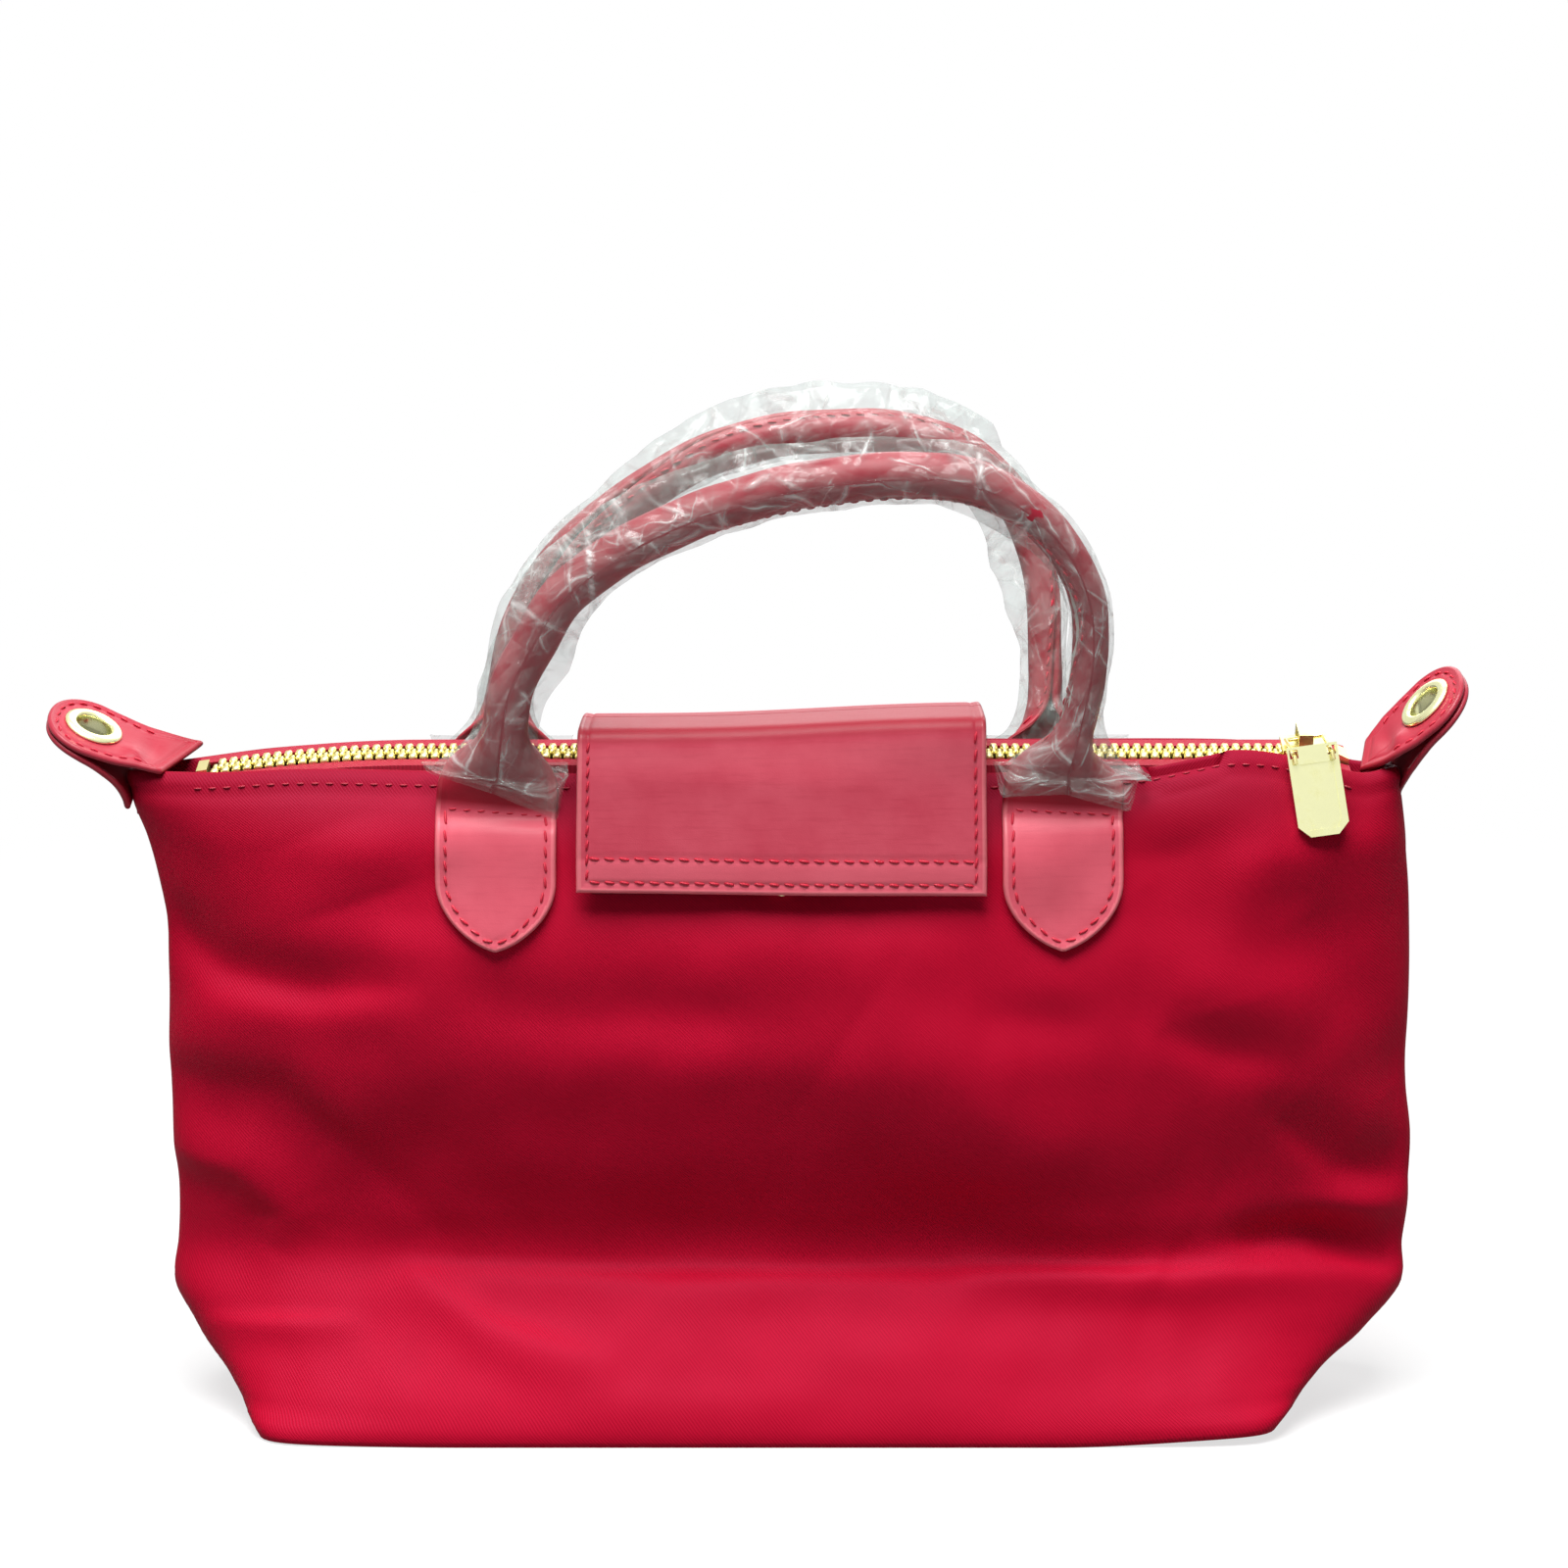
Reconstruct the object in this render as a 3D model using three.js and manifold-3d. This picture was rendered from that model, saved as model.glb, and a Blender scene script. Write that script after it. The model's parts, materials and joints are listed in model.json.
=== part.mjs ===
// A small folding tote bag: nylon body, leather flap, rolled leather handles and a brass zip.
// Millimetres. X runs along the bag's width, the front faces -Y, +Z is up.
// The origin is the middle of the underside of the base.

import * as THREE from 'three';
import { mergeVertices } from 'three/addons/utils/BufferGeometryUtils.js';
import Module from 'manifold-3d';

const wasm = await Module();
wasm.setup();

// Driving dimensions.
const gap = 0.4; // clearance between pieces that lie on each other
const overrun = 1; // how far a cutter runs past what it cuts
const half = 0.5;

const body = { left: 142, right: 144, depth: 80, wall: 1, columns: 24 };
const hem = {
  front: 146.5, back: 151.5, drop: 4.6, flatLeft: 80, flatRight: 123, endLeft: 135, endRight: 131,
};
const base = { left: 116.6, right: 110, thickness: 1.2, corners: 48 };

// Each row of the body: height as a share of the hem, left and right reach and front and back
// depth as shares of the body's, and how square the section is.
const bodyRowShares = [
  [0.012, 0.821, 0.764, 1, 1, 12],
  [0.034, 0.88, 0.847, 0.975, 0.95, 8],
  [0.061, 0.947, 0.925, 0.925, 0.85, 5],
  [0.123, 1, 0.99, 0.775, 0.775, 3.6],
  [0.184, 1.003, 1.008, 0.6, 0.7, 3],
  [0.253, 0.989, 1.01, 0.45, 0.65, 2.6],
  [0.328, 0.982, 1.008, 0.475, 0.625, 2.4],
  [0.41, 0.985, 1.003, 0.55, 0.6, 2.2],
  [0.512, 0.989, 0.99, 0.625, 0.625, 2.2],
  [0.614, 0.987, 0.988, 0.65, 0.65, 2.2],
  [0.73, 0.989, 0.988, 0.613, 0.6, 2.2],
  [0.806, 0.994, 0.983, 0.538, 0.525, 2.4],
  [0.901, 1.013, 0.97, 0.475, 0.44, 3],
  [0.949, 1.03, 0.965, 0.338, 0.33, 4],
  [1, 1.039, 0.958, 0.208, 0.208, 6],
];

const binding = { width: 6, thickness: 1.6, clear: 1.1, low: 12, below: 10.5, steps: 12, baseReach: 30 };

const zip = {
  above: 1, tilt: 17, left: 133, right: 127.5, tapeThickness: 0.6, tapeHalf: 6.2, tapeDrop: 8, steps: 44,
};
const zipHeight = (hem.front + hem.back) / 2 + zip.above;
const teeth = {
  left: 130, right: 119, pitch: 2.5, tip: 0.5, root: 2.1, back: 3, thickness: 2.4,
  tipShare: 0.44, rootShare: 0.64,
};
const stop = { length: 2.4, halfWidth: 2.6, thickness: 3 };

const slider = { x: 117.5, length: 10, halfWidth: 4.7, plate: 1, flange: 0.8, webThickness: 0.4, webLength: 3,
  waistShare: 0.8 };
const bridge = { halfWidth: 3.4, rise: 3.6, bar: 1, length: 3.2 };
const bail = { wire: 0.55, span: 8.4, reach: 10.8, drop: 1.6, hook: 1.6, sides: 8, clearShare: 0.55 };
const pull = { beside: 1.45, length: 20.5, thickness: 1.6, corner: 2.5, rim: 1.5, recess: 0.3, lean: 17,
  skew: 8, slotHeight: 2, slotWidth: 1.9, slotMargin: 0.6 };

const leather = { thickness: 1.8, thin: 1.3 };
const tab = { left: 64, right: 62, width: 27, below: 7.9, length: 29.1, taper: 13.5, rows: 9, columns: 6,
  least: 0.5 };
const tabTop = hem.front - tab.below;
const backing = { width: 22, below: 2.6, height: 20, thickness: 0.8 };

const handle = { bend: 1.7, lean: 10, radius: 5, rootHalf: 13, rootHalfThickness: 0.9, noseRings: 3,
  rollFrom: 20, rings: 30, sides: 12, searchSteps: 400, riseFront: 75.1, riseBack: 80.2 };
const core = { radius: 3, from: 20, sides: 8, mouthBack: 9, mouthDown: 7 };
const film = { radius: 6.6, wall: 0.5, from: 17, sides: 8, rings: 24 };

// Each handle's centre line from its left root to its right one: the place across as a share of
// the distance from the middle to a root, and the height as a share of the loop's height.
const frontHandleShares = [
  [-1.016, 0], [-1, 0.12], [-0.981, 0.255], [-0.965, 0.371], [-0.898, 0.5], [-0.76, 0.657], [-0.54, 0.785],
  [-0.337, 0.87], [-0.135, 0.932], [0.102, 0.977], [0.337, 1], [0.538, 1], [0.706, 0.963], [0.841, 0.892],
  [0.962, 0.779], [1.032, 0.642], [1.051, 0.5], [1.037, 0.371], [1.014, 0.255], [0.99, 0.12], [0.984, 0],
];
const backHandleShares = [
  [-1.03, 0], [-1.03, 0.12], [-1.025, 0.22], [-1.005, 0.3], [-0.945, 0.48], [-0.78, 0.665], [-0.575, 0.795],
  [-0.394, 0.886], [-0.214, 0.95], [0, 0.988], [0.251, 1], [0.465, 0.987], [0.662, 0.931], [0.825, 0.821],
  [0.92, 0.665], [0.955, 0.495], [0.96, 0.32], [0.96, 0.22], [0.965, 0.12], [0.97, 0],
];

const flap = { width: 90, centre: -0.5, thickness: 1.4, foldY: 20.5, foldRise: 8.6, hingeRise: 4.2,
  below: 23.9, arcSteps: 5 };
const foldZ = zipHeight + flap.foldRise;
const hingeZ = zipHeight + flap.hingeRise;
// The flap's line over the zip, from its hinge to its front fold: shares of the depth between
// them, and of the fold's height above the hinge.
const flapTopShares = [[0, 0], [0.04, 0.55], [0.16, 0.98], [0.34, 1.16], [0.6, 1.2], [0.84, 1.14], [1, 1]];
const lining = { thickness: 0.8, margin: 3, topMargin: 4 };
const anchor = { below: 33.5, columns: 8 };
const snap = { below: 19.5, tilt: 8, radius: 5.5, postRadius: 1.6, boreRadius: 2.1, plate: 0.5, socket: 1,
  postRise: 0.9, washerRadius: 6, washerWall: 0.6, sides: 16 };

const ear = { width: 24, length: 20.6, start: 1.7, layerGap: 0.3, tipShare: 0.5, arcSteps: 8, rootWidth: 19,
  eyeletAt: 10.2 };
const leftEar = { x: 147.2, rise: 0.9, pitch: 25, leaf: 13.7, leafDrop: 2, tailOut: 2.6, tailDrop: 9.9 };
const rightEar = { x: 138.5, rise: 3.8, pitch: 47, leaf: 8.6, leafDrop: 6.4, tailOut: 2.4, tailDrop: 14 };
const eyelet = { bore: 4, barrel: 4.4, flange: 6.7, lip: 0.5, roll: 0.3, washer: 6.3, washerWall: 0.5,
  sides: 16 };

// Materials.
const finishes = {
  nylon: { color: 0x9e1229, roughness: 0.7, metalness: 0 },
  leather: { color: 0xca4f60, roughness: 0.5, metalness: 0 },
  lining: { color: 0x8c1a30, roughness: 0.85, metalness: 0 },
  binding: { color: 0x7a0d20, roughness: 0.9, metalness: 0 },
  tape: { color: 0x8e1226, roughness: 0.85, metalness: 0 },
  gold: { color: 0xe8e2a0, roughness: 0.25, metalness: 1 },
  core: { color: 0xd8d4cc, roughness: 0.9, metalness: 0 },
  film: { color: 0xd9dddb, roughness: 0.2, metalness: 0 },
};

const group = new THREE.Group();
const radians = THREE.MathUtils.degToRad;
const lerp = THREE.MathUtils.lerp;

// Adds one named piece.
function piece(name, geometry, finish, parent = group) {
  const mesh = new THREE.Mesh(geometry, new THREE.MeshStandardMaterial(finishes[finish]));
  mesh.name = name;
  parent.add(mesh);
  return mesh;
}

// Geometry from a list of points and a list of triangles.
function geometryOf(points, triangles) {
  const geometry = new THREE.BufferGeometry();
  const places = points.flatMap((p) => [p.x, p.y, p.z]);
  geometry.setAttribute('position', new THREE.Float32BufferAttribute(places, 3));
  geometry.setIndex(triangles.flat());
  return geometry;
}

// A closed body between two grids of points with the same rows and columns.
// The far grid is the outer face where rows run up and columns run to the right of the face.
function slab(far, near) {
  const rows = far.length;
  const columns = far[0].length;
  const points = [...far.flat(), ...near.flat()];
  const at = (r, c) => r * columns + c;
  const inner = rows * columns;
  const triangles = [];
  const quad = (a, b, c, d) => triangles.push([a, b, c], [a, c, d]);
  for (let r = 0; r + 1 < rows; r += 1) {
    for (let c = 0; c + 1 < columns; c += 1) {
      quad(at(r, c), at(r, c + 1), at(r + 1, c + 1), at(r + 1, c));
      quad(inner + at(r, c), inner + at(r + 1, c), inner + at(r + 1, c + 1), inner + at(r, c + 1));
    }
  }
  const last = { r: rows - 1, c: columns - 1 };
  for (let c = 0; c < last.c; c += 1) {
    quad(at(0, c + 1), at(0, c), inner + at(0, c), inner + at(0, c + 1));
    quad(at(last.r, c), at(last.r, c + 1), inner + at(last.r, c + 1), inner + at(last.r, c));
  }
  for (let r = 0; r < last.r; r += 1) {
    quad(at(r, 0), at(r + 1, 0), inner + at(r + 1, 0), inner + at(r, 0));
    quad(at(r + 1, last.c), at(r, last.c), inner + at(r, last.c), inner + at(r + 1, last.c));
  }
  return geometryOf(points, triangles);
}

// A closed body through rings of points; each ring turns anticlockwise seen against the path.
function loft(rings) {
  const count = rings[0].length;
  const points = rings.flat();
  const triangles = [];
  for (let r = 0; r + 1 < rings.length; r += 1) {
    for (let k = 0; k < count; k += 1) {
      const next = (k + 1) % count;
      const a = r * count + k;
      const b = r * count + next;
      const c = (r + 1) * count + next;
      const d = (r + 1) * count + k;
      triangles.push([a, b, c], [a, c, d]);
    }
  }
  const end = (rings.length - 1) * count;
  for (let k = 1; k + 1 < count; k += 1) {
    triangles.push([0, k + 1, k], [end, end + k, end + k + 1]);
  }
  return geometryOf(points, triangles);
}

// A closed sleeve between two lists of rings with the same counts.
function sleeve(outer, inner) {
  const count = outer[0].length;
  const points = [...outer.flat(), ...inner.flat()];
  const shift = outer.length * count;
  const triangles = [];
  const quad = (a, b, c, d) => triangles.push([a, b, c], [a, c, d]);
  const end = (outer.length - 1) * count;
  for (let k = 0; k < count; k += 1) {
    const next = (k + 1) % count;
    for (let r = 0; r + 1 < outer.length; r += 1) {
      const low = r * count;
      const high = low + count;
      quad(low + k, low + next, high + next, high + k);
      quad(shift + low + next, shift + low + k, shift + high + k, shift + high + next);
    }
    quad(next, k, shift + k, shift + next);
    quad(end + k, end + next, shift + end + next, shift + end + k);
  }
  return geometryOf(points, triangles);
}

// A plate: an outline in the XY plane, pushed up by its depth.
function extruded(outline, depth, holes = [], steps = 1) {
  const shape = new THREE.Shape(outline.map(([a, b]) => new THREE.Vector2(a, b)));
  shape.holes = holes.map((hole) => new THREE.Path(hole.map(([a, b]) => new THREE.Vector2(a, b))));
  return new THREE.ExtrudeGeometry(shape, { depth, steps, bevelEnabled: false });
}

// A plate whose outline is drawn in Y and Z, and which runs along X from start.
function alongX(outline, start, length, steps = 1) {
  const geometry = extruded(outline, length, [], steps);
  const axes = new THREE.Matrix4().makeBasis(
    new THREE.Vector3(0, 1, 0),
    new THREE.Vector3(0, 0, 1),
    new THREE.Vector3(1, 0, 0),
  );
  return geometry.applyMatrix4(axes).translate(start, 0, 0);
}

// A plate whose outline is drawn in X and Z, centred on Y = 0.
function acrossY(outline, width) {
  const geometry = extruded(outline, width);
  return geometry.rotateX(Math.PI / 2).translate(0, width / 2, 0);
}

function circle(radius, sides, x = 0, y = 0) {
  return Array.from({ length: sides }, (_, k) => {
    const turn = (k / sides) * 2 * Math.PI;
    return [x + radius * Math.cos(turn), y + radius * Math.sin(turn)];
  });
}

// A ring or disc turned about Z from a closed profile of radius and height.
function turned(profile, sides) {
  const geometry = new THREE.LatheGeometry(profile.map(([r, z]) => new THREE.Vector2(r, z)), sides);
  return geometry.rotateX(Math.PI / 2);
}

function solidOf(geometry) {
  const plain = geometry.clone();
  plain.deleteAttribute('normal');
  plain.deleteAttribute('uv');
  const merged = mergeVertices(plain);
  return new wasm.Manifold(new wasm.Mesh({
    numProp: 3,
    vertProperties: new Float32Array(merged.attributes.position.array),
    triVerts: new Uint32Array(merged.index.array),
  }));
}

function geometryFrom(solid) {
  const mesh = solid.getMesh();
  const geometry = new THREE.BufferGeometry();
  const places = [];
  for (let k = 0; k < mesh.vertProperties.length; k += mesh.numProp) {
    places.push(mesh.vertProperties[k], mesh.vertProperties[k + 1], mesh.vertProperties[k + 2]);
  }
  geometry.setAttribute('position', new THREE.Float32BufferAttribute(places, 3));
  geometry.setIndex([...mesh.triVerts]);
  return geometry;
}

// The outline of a strip of leather that follows a line of points, by half its thickness each way.
function stripOutline(line, thickness) {
  const side = (sign) => line.map(([a, b], k) => {
    const before = line[Math.max(k - 1, 0)];
    const after = line[Math.min(k + 1, line.length - 1)];
    const into = new THREE.Vector2(a - before[0], b - before[1]).normalize();
    const out = new THREE.Vector2(after[0] - a, after[1] - b).normalize();
    const along = into.clone().add(out).normalize();
    const square = new THREE.Vector2(-along.y, along.x);
    const edge = into.lengthSq() > 0 ? into : out;
    const stretch = 1 / Math.max(Math.abs(square.dot(new THREE.Vector2(-edge.y, edge.x))), half);
    return [a + sign * square.x * stretch * thickness / 2, b + sign * square.y * stretch * thickness / 2];
  });
  return [...side(-1), ...side(1).reverse()];
}

// How far the zip and the hems come down towards the bag's ends.
function hemDrop(x) {
  const from = x < 0 ? hem.flatLeft : hem.flatRight;
  const to = x < 0 ? hem.endLeft : hem.endRight;
  const share = THREE.MathUtils.clamp((Math.abs(x) - from) / (to - from), 0, 1);
  return -hem.drop * share * share;
}

// The body's section at a height: its reaches, its depth on one side and its squareness.
function sectionAt(share, side) {
  const rows = bodyRowShares;
  let k = 1;
  while (k + 1 < rows.length && rows[k][0] < share) k += 1;
  const t = THREE.MathUtils.clamp((share - rows[k - 1][0]) / (rows[k][0] - rows[k - 1][0]), 0, 1);
  const mix = rows[k].map((value, column) => lerp(rows[k - 1][column], value, t));
  const depth = body.depth / 2;
  return {
    left: mix[1] * body.left,
    right: mix[2] * body.right,
    depth: (side < 0 ? mix[3] : mix[4]) * depth,
    square: mix[5],
  };
}

const hemHeight = (side) => (side < 0 ? hem.front : hem.back);

// How deep the body's outer face lies from the middle plane at a place and height.
function faceDepth(side, x, z) {
  const section = sectionAt(z / hemHeight(side), side);
  const reach = x < 0 ? section.left : section.right;
  const across = Math.min(Math.abs(x) / reach, 1);
  return section.depth * (1 - across ** section.square) ** (1 / section.square);
}

// A point on the body's outer face, from the right end (0) round to the left end (1).
function bodyPoint(side, turnShare, heightShare) {
  const section = sectionAt(heightShare, side);
  const turn = Math.PI * turnShare;
  const cosine = Math.cos(turn);
  const reach = cosine < 0 ? section.left : section.right;
  const power = 2 / section.square;
  const x = Math.sign(cosine) * reach * Math.abs(cosine) ** power;
  const y = side * section.depth * Math.sin(turn) ** power;
  const z = heightShare * hemHeight(side) + hemDrop(x) * heightShare ** 4;
  return new THREE.Vector3(x, y, z);
}

// The way the body's face points, level, at a place on its way round.
function bodyNormal(side, turnShare, heightShare) {
  if (turnShare <= 0 || turnShare >= 1) return new THREE.Vector3(turnShare <= 0 ? 1 : -1, 0, 0);
  const small = half / body.columns / body.columns;
  const before = bodyPoint(side, turnShare - small, heightShare);
  const along = bodyPoint(side, turnShare + small, heightShare).sub(before);
  return new THREE.Vector3(-side * along.y, side * along.x, 0).normalize().negate();
}

// One nylon panel, whose side edges stop just short of the middle plane.
function panel(side) {
  const outer = [];
  const inner = [];
  for (const [heightShare] of bodyRowShares) {
    const outerRow = [];
    const innerRow = [];
    for (let k = 0; k <= body.columns; k += 1) {
      const turnShare = side < 0 ? 1 - k / body.columns : k / body.columns;
      const point = bodyPoint(side, turnShare, heightShare);
      const normal = bodyNormal(side, turnShare, heightShare);
      point.y += side * gap / 2;
      outerRow.push(point);
      innerRow.push(point.clone().addScaledVector(normal, -body.wall));
    }
    outer.push(outerRow);
    inner.push(innerRow);
  }
  return slab(outer, inner);
}

function addBody() {
  piece('front_panel', panel(-1), 'nylon');
  piece('back_panel', panel(1), 'nylon');
  const outline = Array.from({ length: base.corners }, (_, k) => {
    const turn = (k / base.corners) * 2 * Math.PI;
    const section = sectionAt(0, -1);
    const power = 2 / section.square;
    const reach = Math.cos(turn) < 0 ? base.left : base.right;
    const x = Math.sign(Math.cos(turn)) * reach * Math.abs(Math.cos(turn)) ** power;
    const y = Math.sign(Math.sin(turn)) * section.depth * Math.abs(Math.sin(turn)) ** power;
    return [x, y];
  });
  piece('base_panel', extruded(outline, base.thickness), 'nylon');
}

// Bound seam allowances: one down the inside of each side, one across each end of the base.
function addBindings() {
  for (const [name, sign] of [['left', -1], ['right', 1]]) {
    const rise = (hem.front - binding.below - binding.low) / binding.steps;
    const edge = Array.from({ length: binding.steps + 1 }, (_, k) => {
      const z = binding.low + rise * k;
      const section = sectionAt(z / hem.front, -1);
      const reach = sign < 0 ? section.left : section.right;
      return [sign * (reach - body.wall - binding.clear), z];
    });
    const inside = edge.map(([x, z]) => [x - sign * binding.width, z]).reverse();
    piece(`${name}_seam_binding`, acrossY([...edge, ...inside], binding.thickness), 'binding');
    const reach = (sign < 0 ? base.left : base.right) - body.wall - binding.clear;
    const strip = new THREE.BoxGeometry(binding.width, 2 * binding.baseReach, binding.thickness);
    const height = base.thickness + gap + binding.thickness / 2;
    strip.translate(sign * (reach - binding.width / 2), 0, height);
    piece(`${name}_base_binding`, strip, 'binding');
  }
}

// The zip lies in a plane that tips forward: across it, and square to it.
const zipAcross = { y: Math.cos(radians(zip.tilt)), z: Math.sin(radians(zip.tilt)) };
const onZip = (v, w) => [v * zipAcross.y - w * zipAcross.z, zipHeight + v * zipAcross.z + w * zipAcross.y];

// Lets a straight piece follow the drop of the hems towards the bag's ends.
function dropAtEnds(geometry) {
  const places = geometry.attributes.position;
  for (let k = 0; k < places.count; k += 1) {
    places.setZ(k, places.getZ(k) + hemDrop(places.getX(k)));
  }
  return geometry;
}

// A piece of the zip drawn flat, in X and across, and pushed through its thickness.
function onZipPlane(outline, thickness, low = -thickness / 2) {
  const geometry = extruded(outline, thickness);
  return geometry.translate(0, 0, low).rotateX(radians(zip.tilt)).translate(0, 0, zipHeight);
}

// One row of teeth: a comb whose back edge is crimped on its tape.
function toothRow(side) {
  const count = Math.round((teeth.left + teeth.right) / teeth.pitch);
  const edge = [[-teeth.left, teeth.root]];
  const start = side < 0 ? 0 : teeth.pitch / 2;
  for (let k = 0; k < count; k += 1) {
    const middle = -teeth.left + teeth.pitch * (k + half) + start;
    const foot = teeth.pitch * teeth.rootShare / 2;
    const tip = teeth.pitch * teeth.tipShare / 2;
    if (middle + foot > teeth.right) break;
    edge.push([middle - foot, teeth.root], [middle - tip, teeth.tip]);
    edge.push([middle + tip, teeth.tip], [middle + foot, teeth.root]);
  }
  edge.push([teeth.right, teeth.root]);
  const tips = edge.map(([x, v]) => [x, side * v]);
  const back = edge.map(([x]) => [x, side * teeth.back]);
  const face = (w) => (side < 0 ? [back, tips] : [tips, back])
    .map((row) => row.map(([x, v]) => {
      const [y, z] = onZip(v, w);
      return new THREE.Vector3(x, y, z + hemDrop(x));
    }));
  return slab(face(teeth.thickness / 2), face(-teeth.thickness / 2));
}

function tape(side) {
  const level = side * (teeth.back + gap);
  const edge = side * zip.tapeHalf;
  const lift = zip.tapeThickness / 2;
  const [edgeY, edgeZ] = onZip(edge, 0);
  const line = [onZip(level, 0), [edgeY, edgeZ], [edgeY + side * lift, edgeZ - zip.tapeDrop]];
  const strip = stripOutline(line, zip.tapeThickness);
  return dropAtEnds(alongX(strip, -zip.left, zip.left + zip.right, zip.steps));
}

function addZip() {
  for (const [name, side] of [['front', -1], ['back', 1]]) {
    piece(`${name}_zip_tape`, tape(side), 'tape');
    piece(`${name}_zip_teeth`, toothRow(side), 'gold');
  }
  for (const [name, x] of [['left', -teeth.left - gap - stop.length], ['right', zip.right - stop.length]]) {
    const across = stop.halfWidth;
    const outline = [[x, -across], [x + stop.length, -across], [x + stop.length, across], [x, across]];
    piece(`zip_${name}_stop`, dropAtEnds(onZipPlane(outline, stop.thickness)), 'gold');
  }
}

// The slider: two waisted plates, joined by a thin web between the tooth rows, with flanges
// that wrap the rows and a bridge for the pull.
function sliderBody() {
  const { length, halfWidth, plate } = slider;
  const inside = teeth.thickness / 2 + gap;
  const waist = halfWidth * slider.waistShare;
  const low = -length / 2;
  const outline = [
    [low, -waist], [0, -halfWidth], [-low, -halfWidth], [-low, halfWidth], [0, halfWidth], [low, waist],
  ];
  const part = (shape, from, to) => solidOf(extruded(shape, to - from).translate(0, 0, from));
  const box = (x0, x1, v0, v1, w0, w1) => part([[x0, v0], [x1, v0], [x1, v1], [x0, v1]], w0, w1);
  let whole = part(outline, inside, inside + plate).add(part(outline, -inside - plate, -inside));
  const web = slider.webThickness / 2;
  whole = whole.add(box(-low - slider.webLength, -low, -web, web, -inside - plate / 2, inside + plate / 2));
  const lowest = zip.tapeThickness / 2 + gap;
  for (const side of [-1, 1]) {
    const edges = [side * halfWidth, side * (halfWidth - slider.flange)].sort((a, b) => a - b);
    for (const face of [-1, 1]) {
      const levels = [face * lowest, face * (inside + plate / 2)].sort((a, b) => a - b);
      whole = whole.add(box(0, -low, edges[0], edges[1], levels[0], levels[1]));
    }
  }
  const foot = inside + plate / 2;
  const top = inside + plate + bridge.rise;
  const reach = bridge.length / 2;
  whole = whole.add(box(-reach, reach, -bridge.halfWidth, bridge.halfWidth, foot, top));
  const open = bridge.halfWidth - bridge.bar;
  const cut = reach + overrun;
  whole = whole.subtract(box(-cut, cut, -open, open, inside + plate, top - bridge.bar));
  return geometryFrom(whole).rotateX(radians(zip.tilt)).translate(slider.x, 0, zipHeight);
}

// Where the bail's bar passes under the bridge.
function pullPivot() {
  const bridgeFloor = teeth.thickness / 2 + gap + slider.plate;
  const opening = bridge.rise - bridge.bar;
  const [y, z] = onZip(0, bridgeFloor + opening * bail.clearShare);
  return new THREE.Vector3(slider.x, y, z);
}

// A wire ring at a point, square to its direction.
function wireRing(point, direction, radius, sides, reference) {
  const out = reference.clone().sub(direction.clone().multiplyScalar(reference.dot(direction))).normalize();
  const side = new THREE.Vector3().crossVectors(direction, out);
  return circle(radius, sides)
    .map(([a, b]) => point.clone().addScaledVector(out, a).addScaledVector(side, b));
}

// A wire through points with mitred corners.
function wire(points, radius, sides, reference) {
  const rings = points.map((point, k) => {
    const before = points[Math.max(k - 1, 0)];
    const after = points[Math.min(k + 1, points.length - 1)];
    const into = point.clone().sub(before).normalize();
    const out = after.clone().sub(point).normalize();
    return wireRing(point, into.add(out).normalize(), radius, sides, reference);
  });
  return loft(rings);
}

// The pull's wire bail: a bar under the bridge, and two arms that reach over the front hem and
// through the plate's slots, with their ends turned down.
function bailWire() {
  const reach = bail.span / 2;
  const past = (pull.thickness / 2 + gap + bail.wire) / bail.reach;
  const seat = new THREE.Vector3(0, -bail.reach, -bail.drop);
  const bend = seat.clone().multiplyScalar(1 + past);
  const lean = radians(pull.lean);
  const down = new THREE.Vector3(0, -Math.sin(lean), -Math.cos(lean));
  const tip = bend.clone().addScaledVector(down, bail.hook);
  const arm = (x) => [tip, bend, new THREE.Vector3()].map((p) => p.clone().setX(x));
  const reference = new THREE.Vector3(1, 1, half).normalize();
  const line = [...arm(-reach), ...arm(reach).reverse()];
  return { geometry: wire(line, bail.wire, bail.sides, reference), seat };
}

// The pull's plate, with a raised rim on both faces and a slot for each arm of the bail.
function pullPlate() {
  const w = bail.span / 2 + pull.beside;
  const { corner, length, thickness, rim } = pull;
  const inset = corner / 2;
  const outline = [
    [-w, 0], [-w, corner - length], [corner - w, -length],
    [w - corner, -length], [w, corner - length], [w, 0],
  ];
  const top = -(pull.slotMargin + pull.slotHeight + rim);
  const field = [
    [rim - w, top], [rim - w, corner - length + inset], [corner - w, rim - length],
    [w - corner, rim - length], [w - rim, corner - length + inset], [w - rim, top],
  ];
  let plate = solidOf(extruded(outline, thickness));
  for (const from of [pull.recess - overrun, thickness - pull.recess]) {
    plate = plate.subtract(solidOf(extruded(field, overrun).translate(0, 0, from)));
  }
  for (const sign of [-1, 1]) {
    const middle = sign * bail.span / 2;
    const side = pull.slotWidth / 2;
    const high = -pull.slotMargin;
    const low = high - pull.slotHeight;
    const slot = [[middle - side, low], [middle + side, low], [middle + side, high], [middle - side, high]];
    const cutter = extruded(slot, thickness + 2 * overrun).translate(0, 0, -overrun);
    plate = plate.subtract(solidOf(cutter));
  }
  const drop = pull.slotMargin + pull.slotHeight / 2;
  return geometryFrom(plate).translate(0, drop, -thickness / 2).rotateX(Math.PI / 2 - radians(pull.lean));
}

function addPull() {
  const holder = new THREE.Group();
  holder.position.copy(pullPivot());
  holder.rotation.y = -radians(pull.skew);
  group.add(holder);
  const { geometry, seat } = bailWire();
  piece('zip_pull_bail', geometry, 'gold', holder);
  piece('zip_pull_plate', pullPlate(), 'gold', holder).position.copy(seat);
}

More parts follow.
